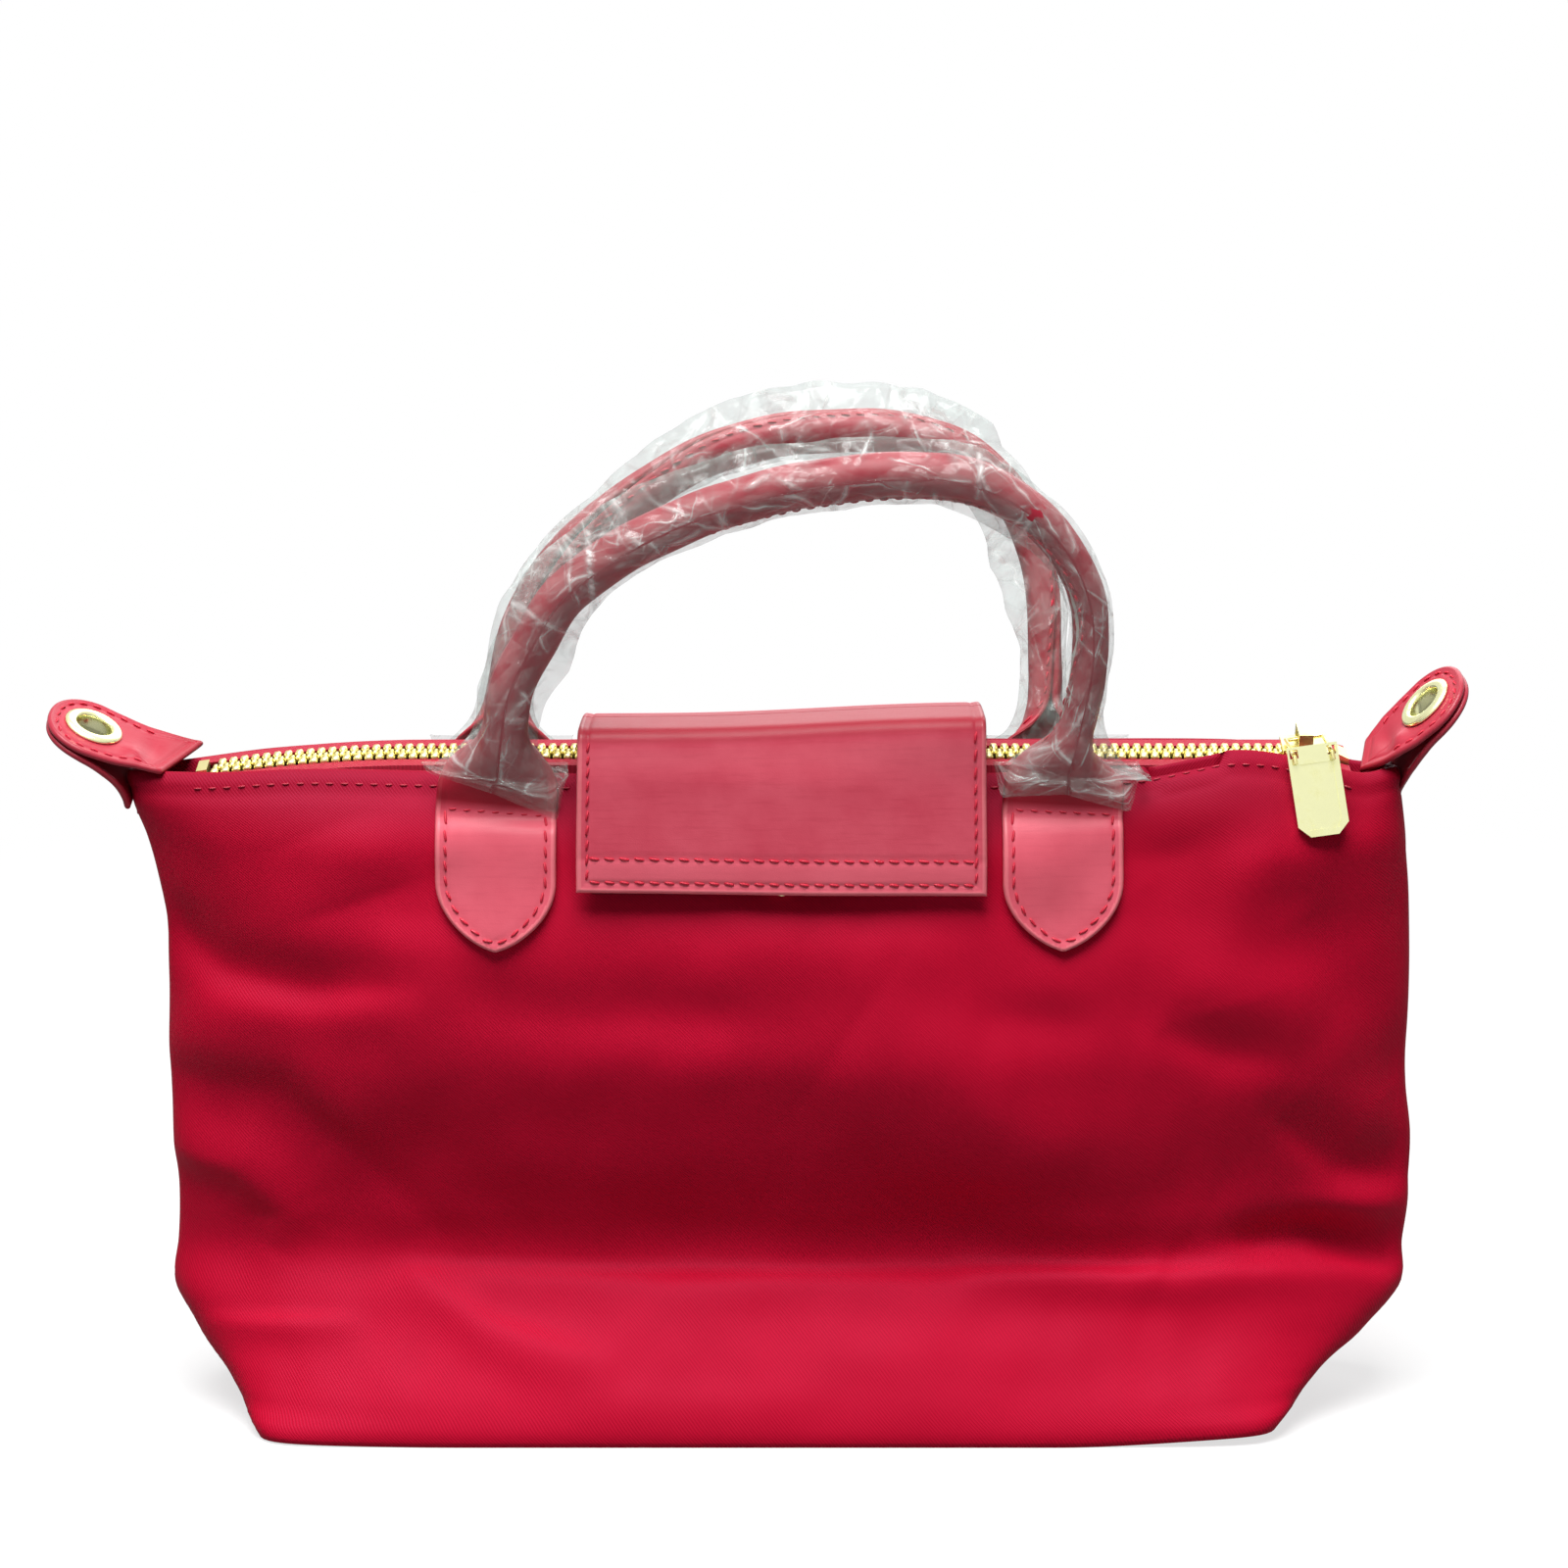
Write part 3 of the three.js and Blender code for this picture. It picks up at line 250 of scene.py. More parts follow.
def buildCrinkleGroup():  # straight creases in several directions, as clear film keeps them
    tree, into, out = newGroup(
        "filmCrinkle",
        [("Place", "NodeSocketVector", None), ("Size", "NodeSocketFloat", 0.006)],
        [("Height", "NodeSocketFloat", None), ("Lines", "NodeSocketFloat", None),
         ("Patches", "NodeSocketFloat", None)])
    place = into.outputs["Place"]
    wander = addNode(tree, "ShaderNodeTexNoise", in2=90.0, in3=2.0)
    tree.links.new(place, wander.inputs[0])
    shift = addNode(tree, "ShaderNodeVectorMath", "SCALE")
    tree.links.new(wander.outputs["Color"], shift.inputs[0])
    shift.inputs["Scale"].default_value = 0.006
    moved = addNode(tree, "ShaderNodeVectorMath", "ADD")
    tree.links.new(place, moved.inputs[0])
    tree.links.new(shift.outputs[0], moved.inputs[1])
    total, lines = None, None
    for turn, ratio in ((12, 1.0), (55, 0.62), (98, 1.35), (140, 0.8), (164, 0.45)):
        along = addNode(tree, "ShaderNodeVectorMath", "DOT_PRODUCT")
        tree.links.new(moved.outputs[0], along.inputs[0])
        along.inputs[1].default_value = (math.cos(math.radians(turn)), math.sin(math.radians(turn)), 0)
        reach = mathNode(tree, "MULTIPLY", into.outputs["Size"], ratio)
        saw = mathNode(tree, "PINGPONG", mathNode(tree, "DIVIDE", along.outputs["Value"], reach), 1.0)
        part = mathNode(tree, "MULTIPLY", saw, ratio)
        total = part if total is None else mathNode(tree, "ADD", total, part)
        mask = rampNode(tree, noiseNode(tree, place, 60.0 + 23 * ratio, 2.0 + ratio), 0.46, 0.62)
        line = mathNode(tree, "MULTIPLY", rampNode(tree, saw, 0.86, 1.0), mask)
        lines = line if lines is None else mathNode(tree, "MAXIMUM", lines, line)
    tree.links.new(total, out.inputs["Height"])
    tree.links.new(lines, out.inputs["Lines"])
    tree.links.new(rampNode(tree, noiseNode(tree, place, 55.0, 4.0, 0.6), 0.4, 0.7), out.inputs["Patches"])
    return tree


weaveGroup = buildWeaveGroup()
grainGroup = buildGrainGroup()
crinkleGroup = buildCrinkleGroup()


def placeSocket(tree, uv=None):  # where a pattern is laid: on the cloth's own coordinates or in the bag's
    if uv:
        return addNode(tree, "ShaderNodeUVMap", uv_map=uv).outputs[0]
    return addNode(tree, "ShaderNodeTexCoord").outputs["Object"]


def groupNode(tree, group, place, **values):
    node = addNode(tree, "ShaderNodeGroup")
    node.node_tree = group
    tree.links.new(place, node.inputs["Place"])
    for key, value in values.items():
        node.inputs[key].default_value = value
    return node


def addBump(tree, shader, height, strength, distance):
    node = addNode(tree, "ShaderNodeBump", in0=strength, in1=distance)
    tree.links.new(height, node.inputs["Height"])
    tree.links.new(node.outputs[0], shader.inputs["Normal"])


def wovenMaterial(name, dark, light, uv=None, pitch=0.0008, sheen=0.35, rough=0.62, bump=0.35,
                  gloss=0.35, glossTint=(1.0, 1.0, 1.0, 1.0), deeper=linear(116, 0, 20)):
    material, nodes, links, shader = newMaterial(name)
    tree = material.node_tree
    weave = groupNode(tree, weaveGroup, placeSocket(tree, uv), Pitch=pitch)
    shade = mathNode(tree, "ADD", mathNode(tree, "MULTIPLY", weave.outputs["Height"], 0.5),
                     mathNode(tree, "MULTIPLY", weave.outputs["Mottle"], 0.5))
    body = mixColours(tree, rampNode(tree, shade, 0.15, 0.85), dark, light)
    # the attribute read here darkens the cloth towards deeper: painted shade, on the nylon towards its hem
    toneAndShading = addNode(tree, "ShaderNodeAttribute", attribute_name="toneAndShading").outputs["Fac"]
    links.new(mixColours(tree, toneAndShading, body, deeper), shader.inputs["Base Color"])
    links.new(mathNode(tree, "ADD", mathNode(tree, "MULTIPLY", weave.outputs["Mottle"], 0.16), rough - 0.08),
              shader.inputs["Roughness"])
    addBump(tree, shader, weave.outputs["Height"], bump, pitch * 0.25)
    shader.inputs["Sheen Weight"].default_value = sheen
    shader.inputs["Sheen Roughness"].default_value = 0.4
    shader.inputs["Sheen Tint"].default_value = (1.0, 0.45, 0.6, 1.0)
    shader.inputs["Specular Tint"].default_value = glossTint
    shader.inputs["Specular IOR Level"].default_value = gloss
    return material


def leatherMaterial(name, dark, light, mark, rough=0.42, bump=0.25, coat=0.03, gloss=0.2, uv="cloth",
                    deeper=linear(150, 14, 36), lighter=linear(232, 116, 130)):
    material, nodes, links, shader = newMaterial(name)
    tree = material.node_tree
    grain = groupNode(tree, grainGroup, placeSocket(tree, uv))
    body = mixColours(tree, rampNode(tree, grain.outputs["Mottle"], 0.3, 0.7), dark, light)
    body = mixColours(tree, mathNode(tree, "MULTIPLY", grain.outputs["Marks"], 0.35), body, mark)
    toneAndShading = addNode(tree, "ShaderNodeAttribute", attribute_name="toneAndShading").outputs["Fac"]  # below 0 darker, above lighter; in places this is painted shade and painted highlight
    body = mixColours(tree, mathNode(tree, "MULTIPLY", toneAndShading, 1.0, clamp=True), body, lighter)
    links.new(mixColours(tree, mathNode(tree, "MULTIPLY", toneAndShading, -1.0, clamp=True), body, deeper),
              shader.inputs["Base Color"])
    links.new(mathNode(tree, "ADD", mathNode(tree, "MULTIPLY", grain.outputs["Height"], 0.18), rough - 0.09),
              shader.inputs["Roughness"])
    addBump(tree, shader, grain.outputs["Height"], bump, 0.00012)
    shader.inputs["Coat Weight"].default_value = coat
    shader.inputs["Coat Roughness"].default_value = 0.3
    shader.inputs["Specular IOR Level"].default_value = gloss
    return material


def metalMaterial(name, colour, shade, rough):
    material, nodes, links, shader = newMaterial(name)
    tree = material.node_tree
    place = placeSocket(tree)
    wear = noiseNode(tree, place, 260.0, 5.0, 0.6)
    links.new(mixColours(tree, rampNode(tree, wear, 0.5, 0.8), colour, shade), shader.inputs["Base Color"])
    links.new(mathNode(tree, "ADD", mathNode(tree, "MULTIPLY", wear, 0.1), rough - 0.05),
              shader.inputs["Roughness"])
    addBump(tree, shader, noiseNode(tree, place, 120.0, 2.0), 0.02, 0.0003)
    shader.inputs["Metallic"].default_value = 1.0
    return material


def threadMaterial(name, dark, light):
    material, nodes, links, shader = newMaterial(name)
    tree = material.node_tree
    twist = addNode(tree, "ShaderNodeTexWave", in1=1500.0, in2=1.5, wave_type="BANDS", bands_direction="DIAGONAL")
    tree.links.new(placeSocket(tree), twist.inputs[0])
    links.new(mixColours(tree, twist.outputs["Fac"], dark, light), shader.inputs["Base Color"])
    links.new(mathNode(tree, "ADD", mathNode(tree, "MULTIPLY", twist.outputs["Fac"], 0.15), 0.4),
              shader.inputs["Roughness"])
    addBump(tree, shader, twist.outputs["Fac"], 0.4, 0.0001)
    return material


def filmMaterial(name):  # clear film: a thin cool grey veil, whiter along its creases, partly the film's own whitening and partly painted highlight
    material, nodes, links, shader = newMaterial(name)
    tree = material.node_tree
    place = placeSocket(tree, "cloth")
    coarse = groupNode(tree, crinkleGroup, place, Size=0.0085)
    fine = groupNode(tree, crinkleGroup, place, Size=0.0034)
    line = mathNode(tree, "ADD", mathNode(tree, "MULTIPLY", coarse.outputs["Lines"], 0.7),
                    mathNode(tree, "MULTIPLY", mathNode(tree, "MULTIPLY", fine.outputs["Lines"],
                                                        coarse.outputs["Patches"]), 0.8), clamp=True)
    fold = addNode(tree, "ShaderNodeAttribute", attribute_name="fold").outputs["Fac"]
    fold = mathNode(tree, "MULTIPLY", fold, mathNode(tree, "ADD", 0.25, coarse.outputs["Patches"]), clamp=True)
    line = mathNode(tree, "MAXIMUM", line, fold)
    veil = mathNode(tree, "ADD", 0.17, mathNode(tree, "MULTIPLY", coarse.outputs["Patches"], 0.1))
    links.new(mathNode(tree, "ADD", veil, mathNode(tree, "MULTIPLY", line, 0.45), clamp=True), shader.inputs["Alpha"])
    # the white along creases and folds is partly painted highlight
    links.new(mixColours(tree, line, linear(158, 182, 175), linear(250, 252, 250)), shader.inputs["Base Color"])
    links.new(mathNode(tree, "ADD", 0.14, mathNode(tree, "MULTIPLY", coarse.outputs["Patches"], 0.12)),
              shader.inputs["Roughness"])
    height = mathNode(tree, "ADD", mathNode(tree, "MULTIPLY", coarse.outputs["Height"], 0.7),
                      mathNode(tree, "MULTIPLY", fine.outputs["Height"], 0.3))
    addBump(tree, shader, height, 0.9, 0.0012)
    # painted light: a faint glow keeps the film from going dark where it faces away from the lamps
    shader.inputs["Emission Color"].default_value = linear(205, 220, 216)
    shader.inputs["Emission Strength"].default_value = 0.07
    shader.inputs["Specular IOR Level"].default_value = 0.8
    return material


nylon = wovenMaterial("nylonTwill", linear(164, 0, 30), linear(200, 4, 46), uv="cloth", sheen=0.02, gloss=0.2,
                      glossTint=(0.5, 0.5, 1.0, 1.0))
binding = wovenMaterial("bindingTape", linear(110, 6, 24), linear(150, 16, 44), pitch=0.0012, sheen=0.2)
zipTape = wovenMaterial("zipTape", linear(140, 10, 34), linear(178, 22, 54), pitch=0.0009, sheen=0.2, bump=0.5)
cordCore = wovenMaterial("cordCore", linear(190, 186, 178), linear(228, 224, 216), pitch=0.0015, sheen=0.1)
leather = leatherMaterial("roseLeather", linear(202, 68, 88), linear(218, 90, 108), linear(182, 48, 68))
leatherBack = leatherMaterial("backingLeather", linear(130, 24, 42), linear(150, 36, 54), linear(110, 16, 32),
                              rough=0.8, coat=0.0, gloss=0.05, uv=None)
paintedEdge = leatherMaterial("paintedEdge", linear(214, 100, 112), linear(232, 122, 130), linear(206, 92, 104),
                              rough=0.34, bump=0.08, coat=0.15)
# the painted edge again, made darker for the ears: painted shade
earEdgeInShade = leatherMaterial("paintedEdgeInShade", linear(186, 62, 82), linear(206, 84, 100), linear(176, 54, 72),
                          rough=0.34, bump=0.08, coat=0.15)
gold = metalMaterial("paleGold", linear(255, 255, 200), linear(246, 244, 178), 0.26)
warmGold = metalMaterial("warmGold", linear(242, 232, 166), linear(212, 198, 118), 0.34)
threadRed = threadMaterial("crimsonThread", linear(178, 8, 38), linear(222, 34, 68))
threadHem = threadMaterial("hemThread", linear(146, 6, 36), linear(186, 22, 56))
film = filmMaterial("crinkledFilm")
print("materials made")


# The nylon body

bag = {
    "leftReach": 142, "rightReach": 144, "halfDepth": 40, "wall": 0.9,
    "columns": 190, "rows": 118, "denseTurns": 1400, "seamBlend": 0.12,
    "cornerLift": (0.5, 2.2),
    # height share, left reach, right reach, front depth, back depth, squareness
    "rowShares": [
        [0.0, 0.834, 0.77, 1.0, 1.0, 14], [0.012, 0.844, 0.783, 1.0, 1.0, 12],
        [0.034, 0.867, 0.815, 0.975, 0.95, 7], [0.061, 0.892, 0.851, 0.925, 0.85, 5],
        [0.09, 0.918, 0.889, 0.855, 0.812, 4], [0.123, 0.947, 0.931, 0.775, 0.775, 3.3],
        [0.184, 0.986, 0.987, 0.6, 0.7, 3],
        [0.253, 0.985, 0.995, 0.45, 0.65, 2.6], [0.328, 0.982, 1.0, 0.475, 0.625, 2.4],
        [0.41, 0.985, 1.003, 0.55, 0.6, 2.2], [0.512, 0.989, 0.99, 0.625, 0.625, 2.2],
        [0.614, 0.987, 0.988, 0.65, 0.65, 2.2], [0.73, 0.989, 0.988, 0.613, 0.6, 2.2],
        [0.806, 0.994, 0.983, 0.552, 0.525, 2.4], [0.901, 1.013, 0.97, 0.478, 0.44, 3],
        [0.949, 1.03, 0.965, 0.37, 0.34, 4], [1.0, 1.039, 0.958, 0.208, 0.208, 6],
    ],
    # place across, height of the hem there
    "frontHem": [
        [-148, 146.8], [-143, 146.2], [-134, 146], [-110, 147.3], [-78, 146.9], [-50, 146.4], [50, 146.6], [72, 147.2],
        [82, 148.1], [92, 150.1], [100, 151.6], [108, 151.3], [116, 149.6], [125, 146.8], [131, 145.2], [136, 146.8], [140, 147.4],
    ],
    "backHem": [
        [-148, 146.8], [-131, 148.4], [-105, 150.6], [-60, 151.5], [60, 151.5], [110, 151], [130, 148.2],
        [140, 147.4],
    ],
}

# Folds and creases of each face: the line that each follows across and up, how far it stands
# proud (or sinks), and its half width, or its half widths to the left and right of the line.
frontFolds = [
    {"line": [(-84, 37), (-28, 36), (30, 36.2), (84, 36)], "rise": -3.4, "reach": (30, 2.8)},
    {"line": [(10, 84), (47, 60.3), (88, 36)], "rise": 4.6, "reach": (26, 15)},
    {"line": [(18, 97), (62, 64), (108, 38)], "rise": 2.0, "reach": (16, 12)},
    {"line": [(42, 34.2), (77, 31.3), (112, 32.3), (131, 31.3)], "rise": 2.3, "reach": (2.8, 4)},
    {"line": [(102, 40), (121, 40), (143, 33)], "rise": -4.2, "reach": (6, 3)},
    {"line": [(-86, 33), (-68, 23), (-43, 16.5)], "rise": 2.2, "reach": (3.4, 6)},
    {"line": [(-130, 21.4), (-98, 23.2)], "rise": 1.6, "reach": (2, 4)},
    {"line": [(-144, 61.5), (-123, 57), (-113, 47), (-117, 38)], "rise": 3.6, "reach": (9, 5)},
    {"line": [(-142, 76), (-115, 74), (-98, 59), (-76, 37)], "rise": -3.0, "reach": (6, 14)},
    {"line": [(-104, 62), (-92, 50), (-84, 40)], "rise": 1.6, "reach": (6, 8)},
    {"line": [(-142, 114), (-126, 103), (-107, 100), (-87, 102)], "rise": -3.4, "reach": (8, 5)},
    {"line": [(-100, 136), (-94, 120)], "rise": 2.0, "reach": 15},
    {"line": [(-66, 95.5), (-27, 94.6), (4, 93)], "rise": -1.4, "reach": (7, 6.5)},
    {"line": [(42, 95), (70, 92)], "rise": -1.3, "reach": 6},
    {"line": [(84, 92), (98, 86), (113, 84)], "rise": -2.2, "reach": (8, 5)},
    {"line": [(112, 70), (127, 56.5), (144, 53)], "rise": -3.6, "reach": (8, 4)},
    {"line": [(118, 49), (140, 46)], "rise": 1.8, "reach": 4},
    {"line": [(116, 116), (128, 98), (141, 75)], "rise": -2.4, "reach": 9},
    {"line": [(72, 138), (88, 128), (97, 96)], "rise": -2.4, "reach": 12},
    {"line": [(-34, 117), (30, 117)], "rise": 1.0, "reach": 12},
    {"line": [(-16, 127.2), (15, 127.2)], "rise": -1.4, "reach": 8},
    {"line": [(78, 139), (108, 139)], "rise": -2.0, "reach": 9},
    {"line": [(98, 137), (116, 135), (140, 130)], "rise": 2.4, "reach": (9, 18)},
    {"line": [(80, 102), (112, 98), (142, 94)], "rise": 2.6, "reach": (18, 30)},
    {"line": [(-142, 92), (-112, 91), (-78, 90)], "rise": 2.2, "reach": (18, 28)},
    {"line": [(-62, 88), (-20, 89), (30, 87)], "rise": 1.2, "reach": (24, 34)},
]
backFolds = [
    {"line": [(-90, 38), (-20, 42), (60, 37)], "rise": -2, "reach": 5},
    {"line": [(-130, 60), (-104, 48), (-92, 36)], "rise": 2.6, "reach": (9, 4)},
    {"line": [(-136, 50), (-112, 38)], "rise": -2.6, "reach": 4.5},
    {"line": [(100, 96), (124, 70), (138, 52)], "rise": -2.6, "reach": 6},
    {"line": [(70, 104), (98, 84), (118, 58)], "rise": 2.4, "reach": (20, 6)},
    {"line": [(-70, 108), (-98, 84), (-120, 74)], "rise": -2.2, "reach": 7},
    {"line": [(-30, 90), (20, 80), (58, 64)], "rise": 2.2, "reach": (20, 7)},
    {"line": [(90, 30), (130, 34)], "rise": -2.6, "reach": 4},
]


def ringSection(shares, side):  # one side's half ring at each height share, evenly spaced along it
    values = smoothTable(bag["rowShares"], shares)
    polar = np.linspace(0, math.pi, bag["denseTurns"])
    cosine, sine = np.cos(polar), np.sin(polar)
    rings = []
    for left, right, front, back, square in values:
        reach = np.where(cosine < 0, left * bag["leftReach"], right * bag["rightReach"])
        deep = (front if side < 0 else back) * bag["halfDepth"]
        radius = (np.abs(cosine / reach) ** square + np.abs(sine / deep) ** square) ** (-1 / square)
        line = np.stack([radius * cosine, side * radius * sine], axis=1)
        rings.append(alongLine(line, count=bag["columns"] + 1))
    return np.array(rings)


def strokeRise(x, z, folds):
    rise = np.zeros_like(x)
    for fold in folds:
        line = alongLine(fold["line"], spacing=3)
        nearest = np.full(x.shape, 1e9)
        share, onLeft = np.zeros_like(x), np.zeros_like(x)
        for k in range(len(line) - 1):
            (ax, az), (bx, bz) = line[k], line[k + 1]
            dx, dz = bx - ax, bz - az
            t = np.clip(((x - ax) * dx + (z - az) * dz) / (dx * dx + dz * dz), 0, 1)
            gap = np.hypot(x - ax - t * dx, z - az - t * dz)
            closer = gap < nearest
            nearest = np.where(closer, gap, nearest)
            share = np.where(closer, (k + t) / (len(line) - 1), share)
            turned = (dx * (z - az) - dz * (x - ax)) / (math.hypot(dx, dz) * np.maximum(gap, 1e-6))
            onLeft = np.where(closer, np.clip(turned, -1, 1), onLeft)
        left, right = fold["reach"] if isinstance(fold["reach"], tuple) else (fold["reach"],) * 2
        reach = right + (left - right) * (0.5 + 0.5 * onLeft)
        taper = 0.35 + 0.65 * np.sin(math.pi * np.clip(share, 0, 1)) ** 0.7
        rise += fold["rise"] * taper * np.exp(-(nearest / reach) ** 2)
    return rise


def buildSide(side):  # one face of the body as a grid of points, from the base edge to the hem
    rows, columns = bag["rows"], bag["columns"]
    shares = np.linspace(0, 1, rows)
    flat = ringSection(shares, side)
    x, y = flat[..., 0], flat[..., 1]
    turn = np.linspace(0, 1, columns + 1)[None, :]
    hem = smoothTable(bag["frontHem"] if side < 0 else bag["backHem"], x)[..., 0]
    other = smoothTable(bag["backHem"] if side < 0 else bag["frontHem"], x)[..., 0]
    away = smoothStep(np.minimum(turn, 1 - turn), 0, bag["seamBlend"])
    hem = (hem + other) / 2 * (1 - away) + hem * away
    z = shares[:, None] * hem
    lift = bag["cornerLift"][0] * smoothStep(-x, 70, 118) + bag["cornerLift"][1] * smoothStep(x, 60, 112)
    points = np.stack([x, y, z + lift * (1 - smoothStep(z, 0, 22))], axis=-1)
    across = np.gradient(points, axis=1)
    up = np.gradient(points, axis=0)
    normal = unit(np.cross(across, up))
    if side > 0:
        normal = -normal
    facing = np.sign((normal * points * np.array([1, 1, 0])).sum(-1, keepdims=True))
    normal = normal * np.where(facing == 0, 1, facing)
    rise = strokeRise(x, z, frontFolds if side < 0 else backFolds)
    ripple = softNoise(points.reshape(-1, 3) * np.array([1, 1, 1.6]), 30, 1.7 * side).reshape(x.shape) * 1.5
    ripple += softNoise(points.reshape(-1, 3) * np.array([1.3, 1, 0.8]), 11, 4.1 * side).reshape(x.shape) * 0.35
    calm = smoothStep(z, 1, 14) * (1 - 0.75 * smoothStep(z, 128, 142))
    seam = np.minimum(turn, 1 - turn) * 2 * 150
    pinch = -1.0 * np.exp(-(seam / 1.2) ** 2) + 0.7 * np.exp(-((seam - 4) / 2.5) ** 2)
    hemRoll = 0.5 * np.exp(-((z - hem + 1.6) / 1.3) ** 2) - 0.35 * np.exp(-((z - hem + 4.2) / 1.0) ** 2)
    move = (rise + ripple) * calm * smoothStep(seam, 0, 9) + pinch * smoothStep(z, 4, 20) + hemRoll
    return points + normal * move[..., None], normal, hem


def buildShell():
    front, frontNormal, frontTop = buildSide(-1)
    back, backNormal, backTop = buildSide(1)
    rows, columns = bag["rows"], bag["columns"]
    seam = [(front[:, k] + back[:, k]) / 2 for k in (0, -1)]
    for grid in (front, back):
        grid[:, 0], grid[:, -1] = seam
    outer = np.concatenate([front[:, ::-1], back[:, 1:-1]], axis=1)
    wide = outer.shape[1]
    lengthRound = np.concatenate([[0], np.cumsum(np.linalg.norm(np.diff(outer[rows // 2], axis=0), axis=1))])
    lengthUp = np.linspace(0, 155, rows)
    # the hem turns over its edge and runs down inside
    normal = np.concatenate([frontNormal[:, ::-1], backNormal[:, 1:-1]], axis=1)[-1]
    level = unit(normal * np.array([1, 1, 0]))
    top = outer[-1]
    turns = [top - level * 0.35 + [0, 0, 0.35], top - level * 0.95 + [0, 0, 0.3],
             top - level * 1.3 - [0, 0, 0.5], top - level * 1.5 - [0, 0, 5], top - level * 1.9 - [0, 0, 10]]
    sheet = np.concatenate([outer, np.array(turns)], axis=0)
    total = len(sheet)
    uvAcross = np.tile(lengthRound, total)
    uvUp = np.repeat(np.concatenate([lengthUp, 155 + np.array([0.5, 1.2, 2, 6, 11])]), wide)
    points = sheet.reshape(-1, 3)
    faces = gridFaces(total, wide, closed=True)
    # the base closes the lowest ring
    lowest = outer[0].copy()
    start = len(points)
    inside = [points]
    shares = (0.985, 0.95, 0.85, 0.68, 0.48, 0.26)
    for k, share in enumerate(shares):
        spine = np.clip(lowest[:, 0], -75, 75)
        centre = np.stack([spine, np.zeros(wide), np.zeros(wide)], axis=1)
        ring = centre + (lowest - centre) * share
        ring[:, 2] = lowest[:, 2] * share ** 6
        inside.append(ring)
        low = 0 if k == 0 else start + (k - 1) * wide
        high = start + k * wide
        for c in range(wide):
            right = (c + 1) % wide
            faces.append([low + right, low + c, high + c, high + right])
    last = start + (len(shares) - 1) * wide
    middle = np.stack([np.clip(lowest[:, 0], -75, 75), np.zeros(wide), np.zeros(wide)], axis=1)
    frontCount = columns + 1
    floorStart = start + len(shares) * wide
    inside.append(middle[:frontCount])
    for c in range(columns):
        faces.append([last + c + 1, last + c, floorStart + c, floorStart + c + 1])
    backPlaces = [frontCount - 1] + list(range(frontCount, wide)) + [0]
    for a, b in zip(backPlaces[:-1], backPlaces[1:]):
        target = [int(np.argmin(np.abs(middle[:frontCount, 0] - middle[k, 0]) )) for k in (a, b)]
        face = [last + b, last + a, floorStart + target[0], floorStart + target[1]]
        faces.append(face if target[0] != target[1] else face[:3])
    allPoints = np.vstack(inside)
    extra = allPoints[start:]
    uv = np.stack([np.concatenate([uvAcross, extra[:, 0]]), np.concatenate([uvUp, extra[:, 1] - 45])], axis=1)
    return allPoints, faces, uv


shellPoints, shellFaces, shellUv = buildShell()
shell = makePiece("nylon_body", shellPoints, shellFaces, nylon, uv=shellUv)
paintedHemShade = 0.6 * smoothStep(shellPoints[:, 2], 126, 146)  # painted shade: the nylon darkens towards the hem
shell.data.attributes.new("toneAndShading", "FLOAT", "POINT").data.foreach_set("value", paintedHemShade.astype(np.float32))
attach(shell, "bag_body")
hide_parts("front_panel", "back_panel", "base_panel")
shellTree = BVHTree.FromPolygons([Vector(p) for p in shellPoints], shellFaces)
print("nylon body made", len(shellPoints))


def buildSeamTapes():  # the bound seam allowances, standing inward from the side seams
    wide = 2 * bag["columns"]
    section = np.array([(1.2, -0.5), (1.5, -0.8), (12.6, -0.8), (13, -0.4), (13, 0.4), (12.6, 0.8), (1.5, 0.8),
                        (1.2, 0.5)])
    for name, column in (("left", 0), ("right", bag["columns"])):
        seam = shellPoints[np.arange(bag["rows"]) * wide + column]
        seam = alongLine(seam[(seam[:, 2] > 22) & (seam[:, 2] < 136)], spacing=3)
        along = unit(np.gradient(seam, axis=0) * [1, 0, 1])
        inward = np.stack([along[:, 2], 0 * along[:, 0], -along[:, 0]], axis=1)
        inward *= -np.sign(seam[:, :1] * inward[:, :1])
        points = (seam[:, None] + inward[:, None] * section[None, :, :1]
                  + section[None, :, 1:] * np.array([0.0, 1.0, 0.0])).reshape(-1, 3)
        tape = closedPiece(f"{name}_seam_tape", points, tubeFaces(len(seam), len(section)), [binding])
        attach(tape, "bag_body")
        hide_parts(f"{name}_seam_binding")


def onFace(side, x, z):  # where a face of the body lies behind a place, in front view
    spot = shellTree.ray_cast(Vector((x, side * 90, z)), Vector((0, -side, 0)))[0]
    return spot.y if spot else side * 8.0


# Leather plates and their stitches

plate = {
    "insets": [0, 0.12, 0.35, 0.7, 1.05, 1.15, 1.5, 1.9, 2.1, 2.35, 2.6, 2.9, 3.5],
    "shares": [0.08, 0.18, 0.3, 0.43, 0.57, 0.71, 0.83, 0.92],
    "edgeRadius": 0.7, "rimWidth": 1.1, "rimRise": 0.13, "grooveAt": 2.35, "grooveDepth": 0.2,
    "grooveWidth": 0.42, "step": 1.0,
}
thread = {"pitch": 3.3, "length": 2.35, "radius": 0.3, "lift": 0.16, "lean": 0.16, "sides": 6}


def rimHeight(inset, thickness, puff=0.0):  # how far the face stands above the middle, by distance from the edge
    near = np.clip(inset / plate["edgeRadius"], 0, 1)
    height = thickness / 2 * np.sqrt(1 - (1 - near) ** 2)
    height = height + plate["rimRise"] * np.exp(-((inset - 0.75) / 0.35) ** 2)
    height = height - plate["grooveDepth"] * np.exp(-((inset - plate["grooveAt"]) / plate["grooveWidth"]) ** 2)
    return height + puff * smoothStep(inset, 2.6, 7)


